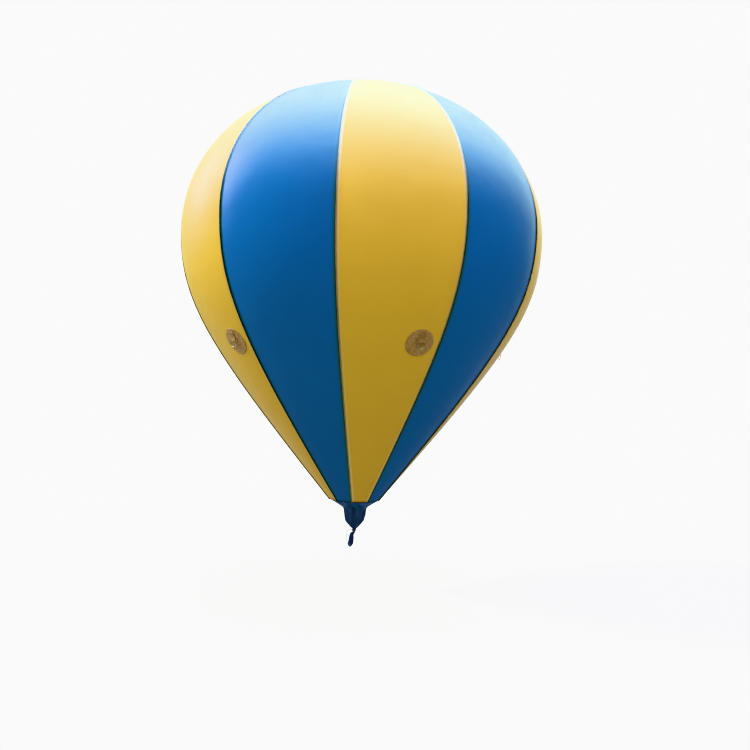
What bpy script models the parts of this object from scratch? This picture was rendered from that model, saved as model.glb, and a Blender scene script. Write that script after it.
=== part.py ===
"""Inflatable ground balloon: ten welded gores, a tied filling neck and five tether points with hinged rings.

Metres, +Z up. The origin is on the balloon's axis at its widest level.
An azimuth is measured from -Y and is positive towards +X. The first yellow gore faces -Y.
"""

import math
from collections import namedtuple

import bmesh
import bpy
from mathutils import Matrix, Vector
from mathutils.geometry import interpolate_bezier

# Envelope outline, two cubic curves that meet at the widest level
WIDEST_RADIUS = 1.5
CROWN_HEIGHT = 1.247
CROWN_HANDLE = 0.896
UPPER_HANDLE = 0.642
LOWER_HANDLE = 0.586
MOUTH_DROP = 2.185
MOUTH_RADIUS = 0.212
MOUTH_HALF_ANGLE = math.radians(39.8)
MOUTH_HANDLE = 1.623
OUTLINE_STEPS = 1000

# Gores, which stand a little proud between their seams
GORES = 10
GORE_HALF = math.pi / GORES
GORE_WALL = 0.010
GORE_ROWS = 24
GORE_COLUMNS = 4
GORE_END_RADIUS = 0.100
LOBE_BULGE = 0.0172
SEAM_SINK = 0.0115

# Clearances between solids that touch on the real balloon
FIT_GAP = 0.0003
CURVED_GAP = 0.0006

# Seam strips and the round crown patch
SEAM_WIDTH = 0.020
SEAM_THICKNESS = 0.002
CROWN_PATCH_RADIUS = 0.160
CROWN_PATCH_THICKNESS = 0.004
CROWN_SEGMENTS = 30
CROWN_RINGS = 3

# Mouth collar, a shallow cone from the gores' lower ends in to the neck
COLLAR_WALL = 0.008
COLLAR_PROFILE = (
    # radius, drop below the mouth
    (0.212, 0.000),
    (0.176, 0.021),
    (0.138, 0.045),
    (0.112, 0.062),
    (0.100, 0.074),
)
ROUND_SEGMENTS = 36

# Neck sleeve, a film tube drawn together in pleats towards the tie
NECK_WALL = 0.006
NECK_PLEATS = 9
NECK_PROFILE = (
    # radius, drop below the mouth, depth of the pleats as a share of the radius
    (0.100, 0.0748, 0.00),
    (0.095, 0.094, 0.02),
    (0.088, 0.133, 0.04),
    (0.078, 0.172, 0.06),
    (0.065, 0.194, 0.09),
    (0.053, 0.208, 0.12),
    (0.033, 0.230, 0.15),
    (0.017, 0.249, 0.15),
    (0.000, 0.251, 0.00),
)

# Tie, three turns of cord round the gathered neck
TIE_DROP = 0.252
TIE_CORD = 0.005
TIE_TURNS = 3
TIE_INNER_RADIUS = 0.012
TIE_SEGMENTS = 20
TIE_CORD_SIDES = 4

# Tail, the folded end of the neck under the tie, which leans to one side
TAIL_SIDE = math.radians(-101.1)
TAIL_SIDES = 20
TAIL_FOLDS = 5
TAIL_SECTIONS = (
    # drop below the mouth, lean, half width, half depth, depth of the folds as a share
    (0.2516, 0.000, 0.0115, 0.0115, 0.00),
    (0.2675, 0.000, 0.0115, 0.0115, 0.00),
    (0.2800, 0.012, 0.0190, 0.0105, 0.08),
    (0.3020, 0.021, 0.0175, 0.0100, 0.14),
    (0.3440, 0.025, 0.0220, 0.0110, 0.18),
    (0.3740, 0.030, 0.0240, 0.0090, 0.18),
    (0.3900, 0.031, 0.0150, 0.0065, 0.12),
    (0.4030, 0.031, 0.0050, 0.0040, 0.00),
)

# Free end of the tie cord, beside the tail
CORD_DIAMETER = 0.006
CORD_SIDES_RESOLUTION = 2
CORD_POINTS = 12
ROUTE_STEPS = 20
CORD_ROUTE = (
    # lean, drop below the mouth
    (0.0174, 0.2595),
    (0.0330, 0.2575),
    (0.0480, 0.2600),
    (0.0580, 0.2720),
    (0.0625, 0.2900),
    (0.0625, 0.3120),
    (0.0600, 0.3340),
    (0.0585, 0.3560),
)

# Tether points, one on each yellow gore
TETHER_POINTS = 5
TETHER_HEIGHT = -0.930
TETHER_OFFSET = math.radians(10.0)
PATCH_RADIUS = 0.110
PATCH_THICKNESS = 0.004
PATCH_SEGMENTS = 24
PATCH_RINGS = 3

# Webbing tab, whose lower end loops round the ring's bar
TAB_WIDTH = 0.050
TAB_STRAP = 0.0024
TAB_LENGTH = 0.066
TAB_MERGE = 0.022
TAB_LOOP_START = math.radians(60)
TAB_LOOP_SWEEP = math.radians(210)
TAB_ARC_STEPS = 8
BAR_RISE = 0.012
BAR_HOLE_RADIUS = 0.0041
BAR_HOLE_SIDES = 12

# D-ring of round wire: a straight bar, two short arms and a half-round bow
WIRE_RADIUS = 0.0035
WIRE_SIDES = 8
RING_HALF_WIDTH = 0.034
RING_ARM = 0.016
RING_CORNER = 0.008
RING_CORNER_STEPS = 3
RING_BOW_STEPS = 11

# Finish of the meshes: points closer than this are one, and edges sharper than this stay sharp
MERGE_DISTANCE = 1e-6
SHARP_ANGLE = math.radians(40)

MATERIALS = {
    # name: colour, roughness, metallic
    "yellow_film": ((0.72, 0.42, 0.035), 0.32, 0.0),
    "blue_film": ((0.008, 0.12, 0.42), 0.32, 0.0),
    "seam_film": ((0.012, 0.035, 0.030), 0.40, 0.0),
    "neck_film": ((0.006, 0.030, 0.12), 0.45, 0.0),
    "patch_film": ((0.32, 0.19, 0.06), 0.50, 0.0),
    "webbing": ((0.55, 0.50, 0.38), 0.85, 0.0),
    "tie_cord": ((0.10, 0.11, 0.09), 0.85, 0.0),
    "steel": ((0.75, 0.74, 0.70), 0.25, 1.0),
}

Station = namedtuple("Station", "radius height outward")


def clear_scene():
    for existing in list(bpy.data.objects):
        bpy.data.objects.remove(existing, do_unlink=True)


def make_materials():
    made = {}
    for name, (colour, roughness, metallic) in MATERIALS.items():
        material = bpy.data.materials.new(name)
        material.use_nodes = True
        shader = material.node_tree.nodes["Principled BSDF"]
        shader.inputs["Base Color"].default_value = (*colour, 1.0)
        shader.inputs["Roughness"].default_value = roughness
        shader.inputs["Metallic"].default_value = metallic
        made[name] = material
    return made


def around(radius, azimuth, height):
    """The point at this radius, azimuth and height."""
    return Vector((radius * math.sin(azimuth), -radius * math.cos(azimuth), height))


def dense_outline():
    """Closely spaced (radius, height) points from the mouth to the crown."""
    mouth = Vector((MOUTH_RADIUS, -MOUTH_DROP))
    along = Vector((math.sin(MOUTH_HALF_ANGLE), math.cos(MOUTH_HALF_ANGLE)))
    widest = Vector((WIDEST_RADIUS, 0.0))
    crown = Vector((0.0, CROWN_HEIGHT))
    lower = interpolate_bezier(
        mouth,
        mouth + along * MOUTH_HANDLE,
        widest - Vector((0.0, LOWER_HANDLE)),
        widest,
        OUTLINE_STEPS,
    )
    upper = interpolate_bezier(
        widest,
        widest + Vector((0.0, UPPER_HANDLE)),
        crown + Vector((CROWN_HANDLE, 0.0)),
        crown,
        OUTLINE_STEPS,
    )
    return [point.to_2d() for point in lower + upper[1:]]


class Outline:
    """The envelope's outline, read by the distance along it from the mouth."""

    def __init__(self):
        self.points = dense_outline()
        self.arcs = [0.0]
        for here, after in zip(self.points, self.points[1:]):
            self.arcs.append(self.arcs[-1] + (after - here).length)

    def arc_where(self, reached):
        """The distance to the first point that passes the test."""
        return next(arc for arc, point in zip(self.arcs, self.points) if reached(point))

    def station(self, arc):
        last = len(self.points) - 2
        index = next((i for i, far in enumerate(self.arcs[1:]) if far >= arc), last)
        along = self.points[index + 1] - self.points[index]
        share = (arc - self.arcs[index]) / along.length
        point = self.points[index] + along * share
        along.normalize()
        return Station(point.x, point.y, Vector((along.y, -along.x)))


def lobe_rise(radius, azimuth_in_gore):
    """How far a gore stands out from the mean outline, or its seam lies in."""
    fullness = max(0.0, radius - MOUTH_RADIUS) / (WIDEST_RADIUS - MOUTH_RADIUS)
    across = azimuth_in_gore / GORE_HALF
    return fullness * (LOBE_BULGE * (1.0 - across * across) - SEAM_SINK)


def skin_point(station, gore_azimuth, azimuth_in_gore, lift):
    """A point of a gore's outer skin, lifted along the outline's outward direction."""
    radius = station.radius + lobe_rise(station.radius, azimuth_in_gore)
    radius += lift * station.outward.x
    height = station.height + lift * station.outward.y
    return around(radius, gore_azimuth + azimuth_in_gore, height)


def gore_azimuths(station, lift):
    """A row's azimuths in its gore: the edges, the seam strips' borders, and even steps between."""
    strip_border = GORE_HALF - math.asin(SEAM_WIDTH / 2 / station.radius)
    steps = [strip_border * (2 * k / GORE_COLUMNS - 1) for k in range(GORE_COLUMNS + 1)]
    edge_radius = station.radius - SEAM_SINK + lift * station.outward.x
    edge = GORE_HALF - math.asin(FIT_GAP / 2 / edge_radius)
    return [-edge, *steps, edge]


def new_object(name, mesh, material):
    mesh.materials.append(material)
    made = bpy.data.objects.new(name, mesh)
    bpy.context.scene.collection.objects.link(made)
    return made


def shade(mesh):
    mesh.shade_smooth()
    mesh.set_sharp_from_angle(angle=SHARP_ANGLE)


def mesh_from(name, points, faces):
    """A closed mesh with doubled points merged and its faces turned outward."""
    mesh = bpy.data.meshes.new(name)
    mesh.from_pydata(points, [], faces)
    shape = bmesh.new()
    shape.from_mesh(mesh)
    bmesh.ops.remove_doubles(shape, verts=shape.verts, dist=MERGE_DISTANCE)
    bmesh.ops.recalc_face_normals(shape, faces=shape.faces)
    shape.to_mesh(mesh)
    shape.free()
    shade(mesh)
    return mesh


def two_skin_mesh(name, outer, inner, wraps):
    """A wall between two grids of points of one size. A grid's columns may wrap round."""
    rows, columns = len(outer), len(outer[0])
    points = [p for grid in (outer, inner) for row in grid for p in row]
    inside = rows * columns
    spans = columns if wraps else columns - 1
    faces = []
    for i in range(rows - 1):
        for j in range(spans):
            k = (j + 1) % columns
            quad = (i * columns + j, i * columns + k, (i + 1) * columns + k, (i + 1) * columns + j)
            faces.append(quad)
            faces.append(tuple(inside + p for p in reversed(quad)))
    for i in (0, rows - 1):
        for j in range(spans):
            a = i * columns + j
            b = i * columns + (j + 1) % columns
            faces.append((a, b, inside + b, inside + a))
    if not wraps:
        for j in (0, columns - 1):
            for i in range(rows - 1):
                a = i * columns + j
                b = a + columns
                faces.append((a, b, inside + b, inside + a))
    return mesh_from(name, points, faces)


def swept_mesh(name, sections, loops):
    """A body through closed sections of one size, which loops back to the first or is capped."""
    sides = len(sections[0])
    count = len(sections)
    points = [p for section in sections for p in section]
    faces = []
    for i in range(count if loops else count - 1):
        after = (i + 1) % count
        for j in range(sides):
            k = (j + 1) % sides
            faces.append((i * sides + j, i * sides + k, after * sides + k, after * sides + j))
    if not loops:
        faces.append(tuple(range(sides)))
        faces.append(tuple((count - 1) * sides + j for j in range(sides)))
    return mesh_from(name, points, faces)


def make_gores(outline, materials):
    """Ten curved panels, yellow and blue in turn, from the mouth to under the crown patch."""
    strip_end = outline.arc_where(lambda p: p.y > 0 and p.x < CROWN_PATCH_RADIUS)
    gore_end = outline.arc_where(lambda p: p.y > 0 and p.x < GORE_END_RADIUS)
    arcs = [strip_end * k / GORE_ROWS for k in range(GORE_ROWS + 1)] + [gore_end]
    stations = [outline.station(arc) for arc in arcs]
    for index in range(GORES):
        colour = ("yellow", "blue")[index % 2]
        gore_azimuth = 2 * GORE_HALF * index
        outer, inner = (
            [
                [skin_point(s, gore_azimuth, a, lift) for a in gore_azimuths(s, lift)]
                for s in stations
            ]
            for lift in (0.0, -GORE_WALL)
        )
        name = f"gore_{colour}_{index // 2 + 1}"
        mesh = two_skin_mesh(name, outer, inner, wraps=False)
        new_object(name, mesh, materials[f"{colour}_film"])
    return stations[:-1]


def make_seam_strips(stations, materials):
    """A narrow film strip over each joint of two gores, from the mouth to the crown patch."""
    for index in range(GORES):
        seam_azimuth = GORE_HALF * (2 * index + 1)
        grids = []
        for lift in (FIT_GAP + SEAM_THICKNESS, FIT_GAP):
            grid = []
            for s in stations:
                half = math.asin(SEAM_WIDTH / 2 / s.radius)
                grid.append(
                    [
                        skin_point(s, seam_azimuth - GORE_HALF, GORE_HALF - half, lift),
                        skin_point(s, seam_azimuth - GORE_HALF, GORE_HALF, lift),
                        skin_point(s, seam_azimuth + GORE_HALF, half - GORE_HALF, lift),
                    ]
                )
            grids.append(grid)
        name = f"seam_strip_{index + 1:02d}"
        mesh = two_skin_mesh(name, grids[0], grids[1], wraps=False)
        new_object(name, mesh, materials["seam_film"])


def make_crown_patch(outline, materials):
    """The round patch that closes the crown over the gores' upper ends."""
    edge = outline.arc_where(lambda p: p.y > 0 and p.x < CROWN_PATCH_RADIUS - FIT_GAP)
    top = outline.arcs[-1]
    stations = [outline.station(edge + (top - edge) * k / CROWN_RINGS) for k in range(CROWN_RINGS)]
    stations.append(Station(0.0, CROWN_HEIGHT, Vector((0.0, 1.0))))
    grids = []
    for lift in (CURVED_GAP + CROWN_PATCH_THICKNESS, CURVED_GAP):
        grids.append(
            [
                [
                    around(s.radius, math.tau * j / CROWN_SEGMENTS, s.height + lift)
                    for j in range(CROWN_SEGMENTS)
                ]
                for s in stations
            ]
        )
    mesh = two_skin_mesh("crown_patch", grids[0], grids[1], wraps=True)
    new_object("crown_patch", mesh, materials["blue_film"])


def profile_normals(profile):
    """The outward direction at each point of a downward (radius, height) profile."""
    found = []
    for i in range(len(profile)):
        before = profile[max(i - 1, 0)]
        after = profile[min(i + 1, len(profile) - 1)]
        along = (after - before).normalized()
        found.append(Vector((-along.y, along.x)))
    return found


def make_collar(materials):
    """The shallow cone that joins the gores' lower ends to the neck."""
    profile = [Vector((r, -MOUTH_DROP - CURVED_GAP - drop)) for r, drop in COLLAR_PROFILE]
    normals = profile_normals(profile)
    normals[0] = Vector((math.cos(MOUTH_HALF_ANGLE), -math.sin(MOUTH_HALF_ANGLE)))
    normals[-1] = Vector((1.0, 0.0))
    azimuths = [math.tau * j / ROUND_SEGMENTS for j in range(ROUND_SEGMENTS)]
    grids = []
    for depth in (0.0, COLLAR_WALL):
        skin = [p - n * depth for p, n in zip(profile, normals)]
        grids.append([[around(p.x, a, p.y) for a in azimuths] for p in skin])
    mesh = two_skin_mesh("mouth_collar", grids[0], grids[1], wraps=True)
    new_object("mouth_collar", mesh, materials["neck_film"])


def make_neck(materials):
    """The filling sleeve, closed at the tie, with pleats that deepen towards it."""
    profile = [Vector((r, -MOUTH_DROP - drop)) for r, drop, _ in NECK_PROFILE]
    pleats = [pleat for _, _, pleat in NECK_PROFILE]
    normals = profile_normals(profile)
    normals[0] = Vector((1.0, 0.0))
    normals[-1] = Vector((0.0, -1.0))
    azimuths = [math.tau * j / ROUND_SEGMENTS for j in range(ROUND_SEGMENTS)]
    grids = []
    for depth in (0.0, NECK_WALL):
        skin = [p - n * depth for p, n in zip(profile, normals)]
        grids.append(
            [
                [
                    around(p.x * (1.0 + pleat * math.cos(NECK_PLEATS * a)), a, p.y)
                    for a in azimuths
                ]
                for p, pleat in zip(skin, pleats)
            ]
        )
    mesh = two_skin_mesh("neck_sleeve", grids[0], grids[1], wraps=True)
    new_object("neck_sleeve", mesh, materials["neck_film"])


def make_tie(materials):
    """Three turns of cord, side by side, round the gathered film."""
    radius = TIE_CORD / 2
    outer = []
    for turn in range(TIE_TURNS):
        centre_drop = TIE_DROP + radius + turn * TIE_CORD
        for k in range(TIE_CORD_SIDES + 1):
            angle = math.pi * (k / TIE_CORD_SIDES - 0.5)
            reach = TIE_INNER_RADIUS + radius * (1.0 + math.cos(angle))
            outer.append((reach, centre_drop + radius * math.sin(angle)))
    section = [(TIE_INNER_RADIUS, TIE_DROP)] + outer
    section.append((TIE_INNER_RADIUS, TIE_DROP + TIE_TURNS * TIE_CORD))
    section = [point for i, point in enumerate(section) if i == 0 or point != section[i - 1]]
    sections = []
    for j in range(TIE_SEGMENTS):
        azimuth = math.tau * j / TIE_SEGMENTS
        sections.append([around(r, azimuth, -MOUTH_DROP - drop) for r, drop in section])
    new_object("neck_tie", swept_mesh("neck_tie", sections, loops=True), materials["tie_cord"])


def tail_frame():
    """Level directions towards the lean of the tail and across it."""
    lean = around(1.0, TAIL_SIDE, 0.0)
    return lean, Vector((-lean.y, lean.x, 0.0))


def make_tail(materials):
    """The folded, flattened film below the tie."""
    lean, across = tail_frame()
    sections = []
    for drop, offset, half_width, half_depth, fold in TAIL_SECTIONS:
        centre = lean * offset + Vector((0.0, 0.0, -MOUTH_DROP - drop))
        ring = []
        for j in range(TAIL_SIDES):
            angle = math.tau * j / TAIL_SIDES
            swell = 1.0 + fold * math.cos(TAIL_FOLDS * angle)
            ring.append(
                centre
                + lean * (half_width * swell * math.cos(angle))
                + across * (half_depth * swell * math.sin(angle))
            )
        sections.append(ring)
    new_object("neck_tail", swept_mesh("neck_tail", sections, loops=False), materials["neck_film"])


def smooth_route(route, count):
    """Evenly spaced points on a smooth curve through the route."""
    padded = [2 * route[0] - route[1], *route, 2 * route[-1] - route[-2]]
    fine = []
    for before, start, end, after in zip(padded, padded[1:], padded[2:], padded[3:]):
        first = start + (end - before) / 6
        second = end - (after - start) / 6
        fine.extend(interpolate_bezier(start, first, second, end, ROUTE_STEPS + 1)[:-1])
    fine.append(route[-1])
    arcs = [0.0]
    for here, after in zip(fine, fine[1:]):
        arcs.append(arcs[-1] + (after - here).length)
    last = len(fine) - 2
    picked = []
    for k in range(count):
        target = arcs[-1] * k / (count - 1)
        index = next((i for i, arc in enumerate(arcs[1:]) if arc >= target), last)
        share = (target - arcs[index]) / (arcs[index + 1] - arcs[index])
        picked.append(fine[index].lerp(fine[index + 1], share))
    return picked


def make_cord_end(materials):
    """The free end of the tie cord, which springs out from the tie and hangs beside the tail."""
    lean, _ = tail_frame()
    route = [lean * out + Vector((0.0, 0.0, -MOUTH_DROP - drop)) for out, drop in CORD_ROUTE]
    points = smooth_route(route, CORD_POINTS)
    curve = bpy.data.curves.new("neck_cord_end", "CURVE")
    curve.dimensions = "3D"
    curve.bevel_depth = CORD_DIAMETER / 2
    curve.bevel_resolution = CORD_SIDES_RESOLUTION
    curve.use_fill_caps = True
    spline = curve.splines.new("POLY")
    spline.points.add(len(points) - 1)
    for spline_point, point in zip(spline.points, points):
        spline_point.co = (*point, 1.0)
    new_object("neck_cord_end", curve, materials["tie_cord"])


def tether_skin_point(outline, azimuth, arc, across, up, lift):
    """A point of a yellow gore's skin, given by distances across and up from a tether point."""
    station = outline.station(arc + up)
    in_gore = TETHER_OFFSET + across / station.radius
    return skin_point(station, azimuth, in_gore, lift)


def tether_frame(outline, azimuth, arc):
    """The patch's outer face at its centre: across and level, up the slope, and outward."""
    lift = CURVED_GAP + PATCH_THICKNESS
    reach = TAB_WIDTH / 2
    centre = tether_skin_point(outline, azimuth, arc, 0.0, 0.0, lift)
    right = tether_skin_point(outline, azimuth, arc, reach, 0.0, lift)
    left = tether_skin_point(outline, azimuth, arc, -reach, 0.0, lift)
    above = tether_skin_point(outline, azimuth, arc, 0.0, reach, lift)
    below = tether_skin_point(outline, azimuth, arc, 0.0, -reach, lift)
    across = (right - left).normalized()
    outward = across.cross(above - below).normalized()
    return centre, across, outward.cross(across), outward


def placed(origin, x_axis, y_axis, z_axis):
    rotation = Matrix((x_axis, y_axis, z_axis)).transposed().to_4x4()
    return Matrix.Translation(origin) @ rotation


def make_patch(number, outline, azimuth, arc, materials):
    """A round reinforcing disc that follows the gore's skin."""
    grids = []
    for lift in (CURVED_GAP + PATCH_THICKNESS, CURVED_GAP):
        grid = []
        for ring in range(PATCH_RINGS + 1):
            reach = PATCH_RADIUS * (1.0 - ring / PATCH_RINGS)
            angles = [math.tau * j / PATCH_SEGMENTS for j in range(PATCH_SEGMENTS)]
            grid.append(
                [
                    tether_skin_point(
                        outline, azimuth, arc, reach * math.cos(a), reach * math.sin(a), lift
                    )
                    for a in angles
                ]
            )
        grids.append(grid)
    name = f"tether_patch_{number}"
    mesh = two_skin_mesh(name, grids[0], grids[1], wraps=True)
    new_object(name, mesh, materials["patch_film"])


def tab_outline():
    """The strap's side view about the bar's centre: (up the slope, outward) points, and its hole."""
    loop_radius = BAR_HOLE_RADIUS + TAB_STRAP
    doubled = 2 * TAB_STRAP - loop_radius
    edge = [(TAB_LENGTH, -loop_radius), (TAB_LENGTH, doubled), (TAB_MERGE, doubled)]
    for k in range(TAB_ARC_STEPS + 1):
        angle = TAB_LOOP_START + TAB_LOOP_SWEEP * k / TAB_ARC_STEPS
        edge.append((loop_radius * math.cos(angle), loop_radius * math.sin(angle)))
    hole = []
    for k in range(BAR_HOLE_SIDES):
        angle = math.tau * k / BAR_HOLE_SIDES
        hole.append((BAR_HOLE_RADIUS * math.cos(angle), BAR_HOLE_RADIUS * math.sin(angle)))
    return edge, hole


def tab_mesh(name):
    """The doubled strap, extruded across its width, with local X across, Y up and Z outward."""
    shape = bmesh.new()
    edges = []
    for ring in tab_outline():
        corners = [shape.verts.new((-TAB_WIDTH / 2, up, out)) for up, out in ring]
        for here, after in zip(corners, corners[1:] + corners[:1]):
            edges.append(shape.edges.new((here, after)))
    filled = bmesh.ops.triangle_fill(shape, use_beauty=True, edges=edges)
    flat = [g for g in filled["geom"] if isinstance(g, bmesh.types.BMFace)]
    grown = bmesh.ops.extrude_face_region(shape, geom=flat, use_keep_orig=True)
    moved = [g for g in grown["geom"] if isinstance(g, bmesh.types.BMVert)]
    bmesh.ops.translate(shape, verts=moved, vec=(TAB_WIDTH, 0.0, 0.0))
    bmesh.ops.recalc_face_normals(shape, faces=shape.faces)
    mesh = bpy.data.meshes.new(name)
    shape.to_mesh(mesh)
    shape.free()
    shade(mesh)
    return mesh


def ring_path():
    """The wire's centre line about the bar's centre: (across, down) points, with rounded corners."""
    bar_end = RING_HALF_WIDTH - RING_CORNER
    corner = []
    for k in range(RING_CORNER_STEPS + 1):
        angle = math.pi / 2 * k / RING_CORNER_STEPS
        corner.append(
            (bar_end + RING_CORNER * math.sin(angle), RING_CORNER * (1.0 - math.cos(angle)))
        )
    bow = []
    for k in range(RING_BOW_STEPS + 1):
        angle = math.pi * k / RING_BOW_STEPS
        bow.append(
            (RING_HALF_WIDTH * math.cos(angle), RING_ARM + RING_HALF_WIDTH * math.sin(angle))
        )
    return corner + bow + [(-across, down) for across, down in reversed(corner)]


def ring_mesh(name):
    """The D-ring hanging plumb from its bar, with local X along the bar and Z up."""
    path = [Vector((across, 0.0, -down)) for across, down in ring_path()]
    ring_normal = Vector((0.0, 1.0, 0.0))
    sections = []
    for i, point in enumerate(path):
        inward = (point - path[i - 1]).normalized()
        outward = (path[(i + 1) % len(path)] - point).normalized()
        along = (inward + outward).normalized()
        side = along.cross(ring_normal)
        stretch = 1.0 / along.dot(outward)
        section = []
        for j in range(WIRE_SIDES):
            angle = math.tau * (j + 0.5) / WIRE_SIDES
            section.append(
                point
                + side * (WIRE_RADIUS * stretch * math.cos(angle))
                + ring_normal * (WIRE_RADIUS * math.sin(angle))
            )
        sections.append(section)
    return swept_mesh(name, sections, loops=True)


def make_tether_point(number, outline, materials):
    """A patch, its webbing tab, and the D-ring that turns on the bar held by the tab."""
    azimuth = 4 * GORE_HALF * (number - 1)
    arc = outline.arc_where(lambda p: p.y > TETHER_HEIGHT)
    make_patch(number, outline, azimuth, arc, materials)

    centre, across, up, outward = tether_frame(outline, azimuth, arc)
    stand_off = BAR_HOLE_RADIUS + TAB_STRAP + FIT_GAP
    holder = bpy.data.objects.new(f"tether_point_{number}", None)
    bpy.context.scene.collection.objects.link(holder)
    holder.location = centre + up * BAR_RISE + outward * stand_off

    tab_name = f"webbing_tab_{number}"
    tab = new_object(tab_name, tab_mesh(tab_name), materials["webbing"])
    tab.parent = holder
    tab.matrix_local = placed(Vector(), across, up, outward)

    ring_name = f"d_ring_{number}"
    ring = new_object(ring_name, ring_mesh(ring_name), materials["steel"])
    ring.parent = holder
    upright = Vector((0.0, 0.0, 1.0))
    ring.matrix_local = placed(Vector(), across, upright.cross(across), upright)


def main():
    clear_scene()
    materials = make_materials()
    outline = Outline()
    seam_stations = make_gores(outline, materials)
    make_seam_strips(seam_stations, materials)
    make_crown_patch(outline, materials)
    make_collar(materials)
    make_neck(materials)
    make_tie(materials)
    make_tail(materials)
    make_cord_end(materials)
    for number in range(1, TETHER_POINTS + 1):
        make_tether_point(number, outline, materials)


main()
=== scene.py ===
"""The finish of the inflatable ground balloon: film gores, lap welds, pleated neck, tie cord, patches and rings.

Metres, +Z up, in the part's own frame. An azimuth is measured from -Y and is positive towards +X.
"""

import math
from collections import namedtuple

import bmesh
import bpy
from mathutils import Matrix, Vector, noise
from mathutils.geometry import interpolate_bezier

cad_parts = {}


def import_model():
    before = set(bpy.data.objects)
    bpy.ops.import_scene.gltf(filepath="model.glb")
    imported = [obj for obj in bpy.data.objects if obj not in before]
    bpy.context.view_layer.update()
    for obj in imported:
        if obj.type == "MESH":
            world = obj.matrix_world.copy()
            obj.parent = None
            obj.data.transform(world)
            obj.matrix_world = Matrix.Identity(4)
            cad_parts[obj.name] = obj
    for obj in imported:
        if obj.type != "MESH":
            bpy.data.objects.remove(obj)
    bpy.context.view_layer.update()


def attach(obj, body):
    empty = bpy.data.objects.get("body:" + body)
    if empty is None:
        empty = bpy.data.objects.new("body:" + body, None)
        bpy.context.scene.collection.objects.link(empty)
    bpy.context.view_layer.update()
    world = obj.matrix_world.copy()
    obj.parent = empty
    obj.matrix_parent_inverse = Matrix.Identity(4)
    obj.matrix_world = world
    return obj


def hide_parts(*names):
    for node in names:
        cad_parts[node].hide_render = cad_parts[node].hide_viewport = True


# Envelope outline, two cubic curves that meet at the widest level
WIDEST_RADIUS = 1.5
CROWN_HEIGHT = 1.247
CROWN_HANDLE = 0.896
UPPER_HANDLE = 0.642
LOWER_HANDLE = 0.586
MOUTH_DROP = 2.185
MOUTH_RADIUS = 0.212
MOUTH_HALF_ANGLE = math.radians(39.8)
MOUTH_HANDLE = 1.623
OUTLINE_STEPS = 1000

# Gores, which stand a little proud between their seams
GORES = 10
GORE_HALF = math.pi / GORES
GORE_END_RADIUS = 0.100
GORE_COLUMNS = 33
GORE_ROWS = 181
GORE_FILM = 0.002
LOBE_BULGE = 0.0172
SEAM_SINK = 0.0115
PUCKER_DEPTH = 0.0016
PUCKER_SPACING = 0.075

# Lap welds over the seams: (across, height) of the raised section, in metres
WELD_SECTION = (
    (-0.0100, 0.0002),
    (-0.0100, 0.0008),
    (-0.0086, 0.0018),
    (-0.0065, 0.0022),
    (-0.0030, 0.0017),
    (0.0000, 0.0015),
    (0.0030, 0.0017),
    (0.0065, 0.0022),
    (0.0086, 0.0018),
    (0.0100, 0.0008),
    (0.0100, 0.0002),
)
WELD_HALF_WIDTH = 0.010
WELD_STEPS = 200

# Crown patch
CROWN_PATCH_RADIUS = 0.160
PATCH_RISE = 0.0046

# Mouth collar and neck sleeve: radius, drop below the mouth, depth of the pleats as a share
COLLAR_PROFILE = (
    (0.2125, -0.0010, 0.000),
    (0.2120, 0.0006, 0.000),
    (0.1760, 0.0215, 0.006),
    (0.1380, 0.0455, 0.014),
    (0.1120, 0.0625, 0.020),
    (0.1000, 0.0755, 0.022),
)
NECK_PROFILE = (
    (0.1000, 0.0750, 0.022),
    (0.0950, 0.0940, 0.050),
    (0.0880, 0.1330, 0.090),
    (0.0780, 0.1720, 0.130),
    (0.0650, 0.1940, 0.160),
    (0.0530, 0.2080, 0.180),
    (0.0330, 0.2300, 0.200),
    (0.0150, 0.2490, 0.200),
    (0.0118, 0.2540, 0.150),
)
NECK_PLEATS = 13

# Tie, three turns of cord round the gathered film
TIE_DROP = 0.252
TIE_CORD = 0.005
TIE_TURNS = 3
TIE_INNER_RADIUS = 0.012
STRANDS = 3
STRAND_LAY = 0.021

# Tail, the folded end of the neck under the tie
TAIL_SIDE = math.radians(-101.1)
TAIL_FOLDS = 5
TAIL_SECTIONS = (
    # drop below the mouth, lean, half width, half depth, depth of the folds as a share
    (0.2530, 0.000, 0.0110, 0.0110, 0.10),
    (0.2675, 0.000, 0.0112, 0.0112, 0.12),
    (0.2800, 0.012, 0.0185, 0.0102, 0.16),
    (0.3020, 0.021, 0.0170, 0.0098, 0.22),
    (0.3440, 0.025, 0.0210, 0.0105, 0.26),
    (0.3740, 0.030, 0.0230, 0.0088, 0.26),
    (0.3900, 0.031, 0.0150, 0.0064, 0.20),
    (0.4020, 0.031, 0.0060, 0.0042, 0.10),
)

# Free end of the tie cord, beside the tail
CORD_DIAMETER = 0.006
CORD_POINTS = 32
CORD_ROUTE = (
    # lean, drop below the mouth
    (0.0174, 0.2595),
    (0.0330, 0.2575),
    (0.0480, 0.2600),
    (0.0580, 0.2720),
    (0.0625, 0.2900),
    (0.0625, 0.3120),
    (0.0600, 0.3340),
    (0.0585, 0.3560),
)
ROUTE_STEPS = 20

# Tether points, one on each yellow gore
TETHER_POINTS = 5
TETHER_HEIGHT = -0.930
TETHER_OFFSET = math.radians(10.0)
PATCH_RADIUS = 0.110
CURVED_GAP = 0.0006
PATCH_THICKNESS = 0.004
FIT_GAP = 0.0003

# Webbing tab, whose lower end loops round the ring's bar
TAB_WIDTH = 0.050
TAB_STRAP = 0.0024
TAB_LENGTH = 0.066
TAB_MERGE = 0.022
BAR_RISE = 0.012
BAR_HOLE_RADIUS = 0.0041
STITCH_PITCH = 0.0045
STITCH_BOX = (-0.020, 0.020, 0.026, 0.062)

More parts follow.
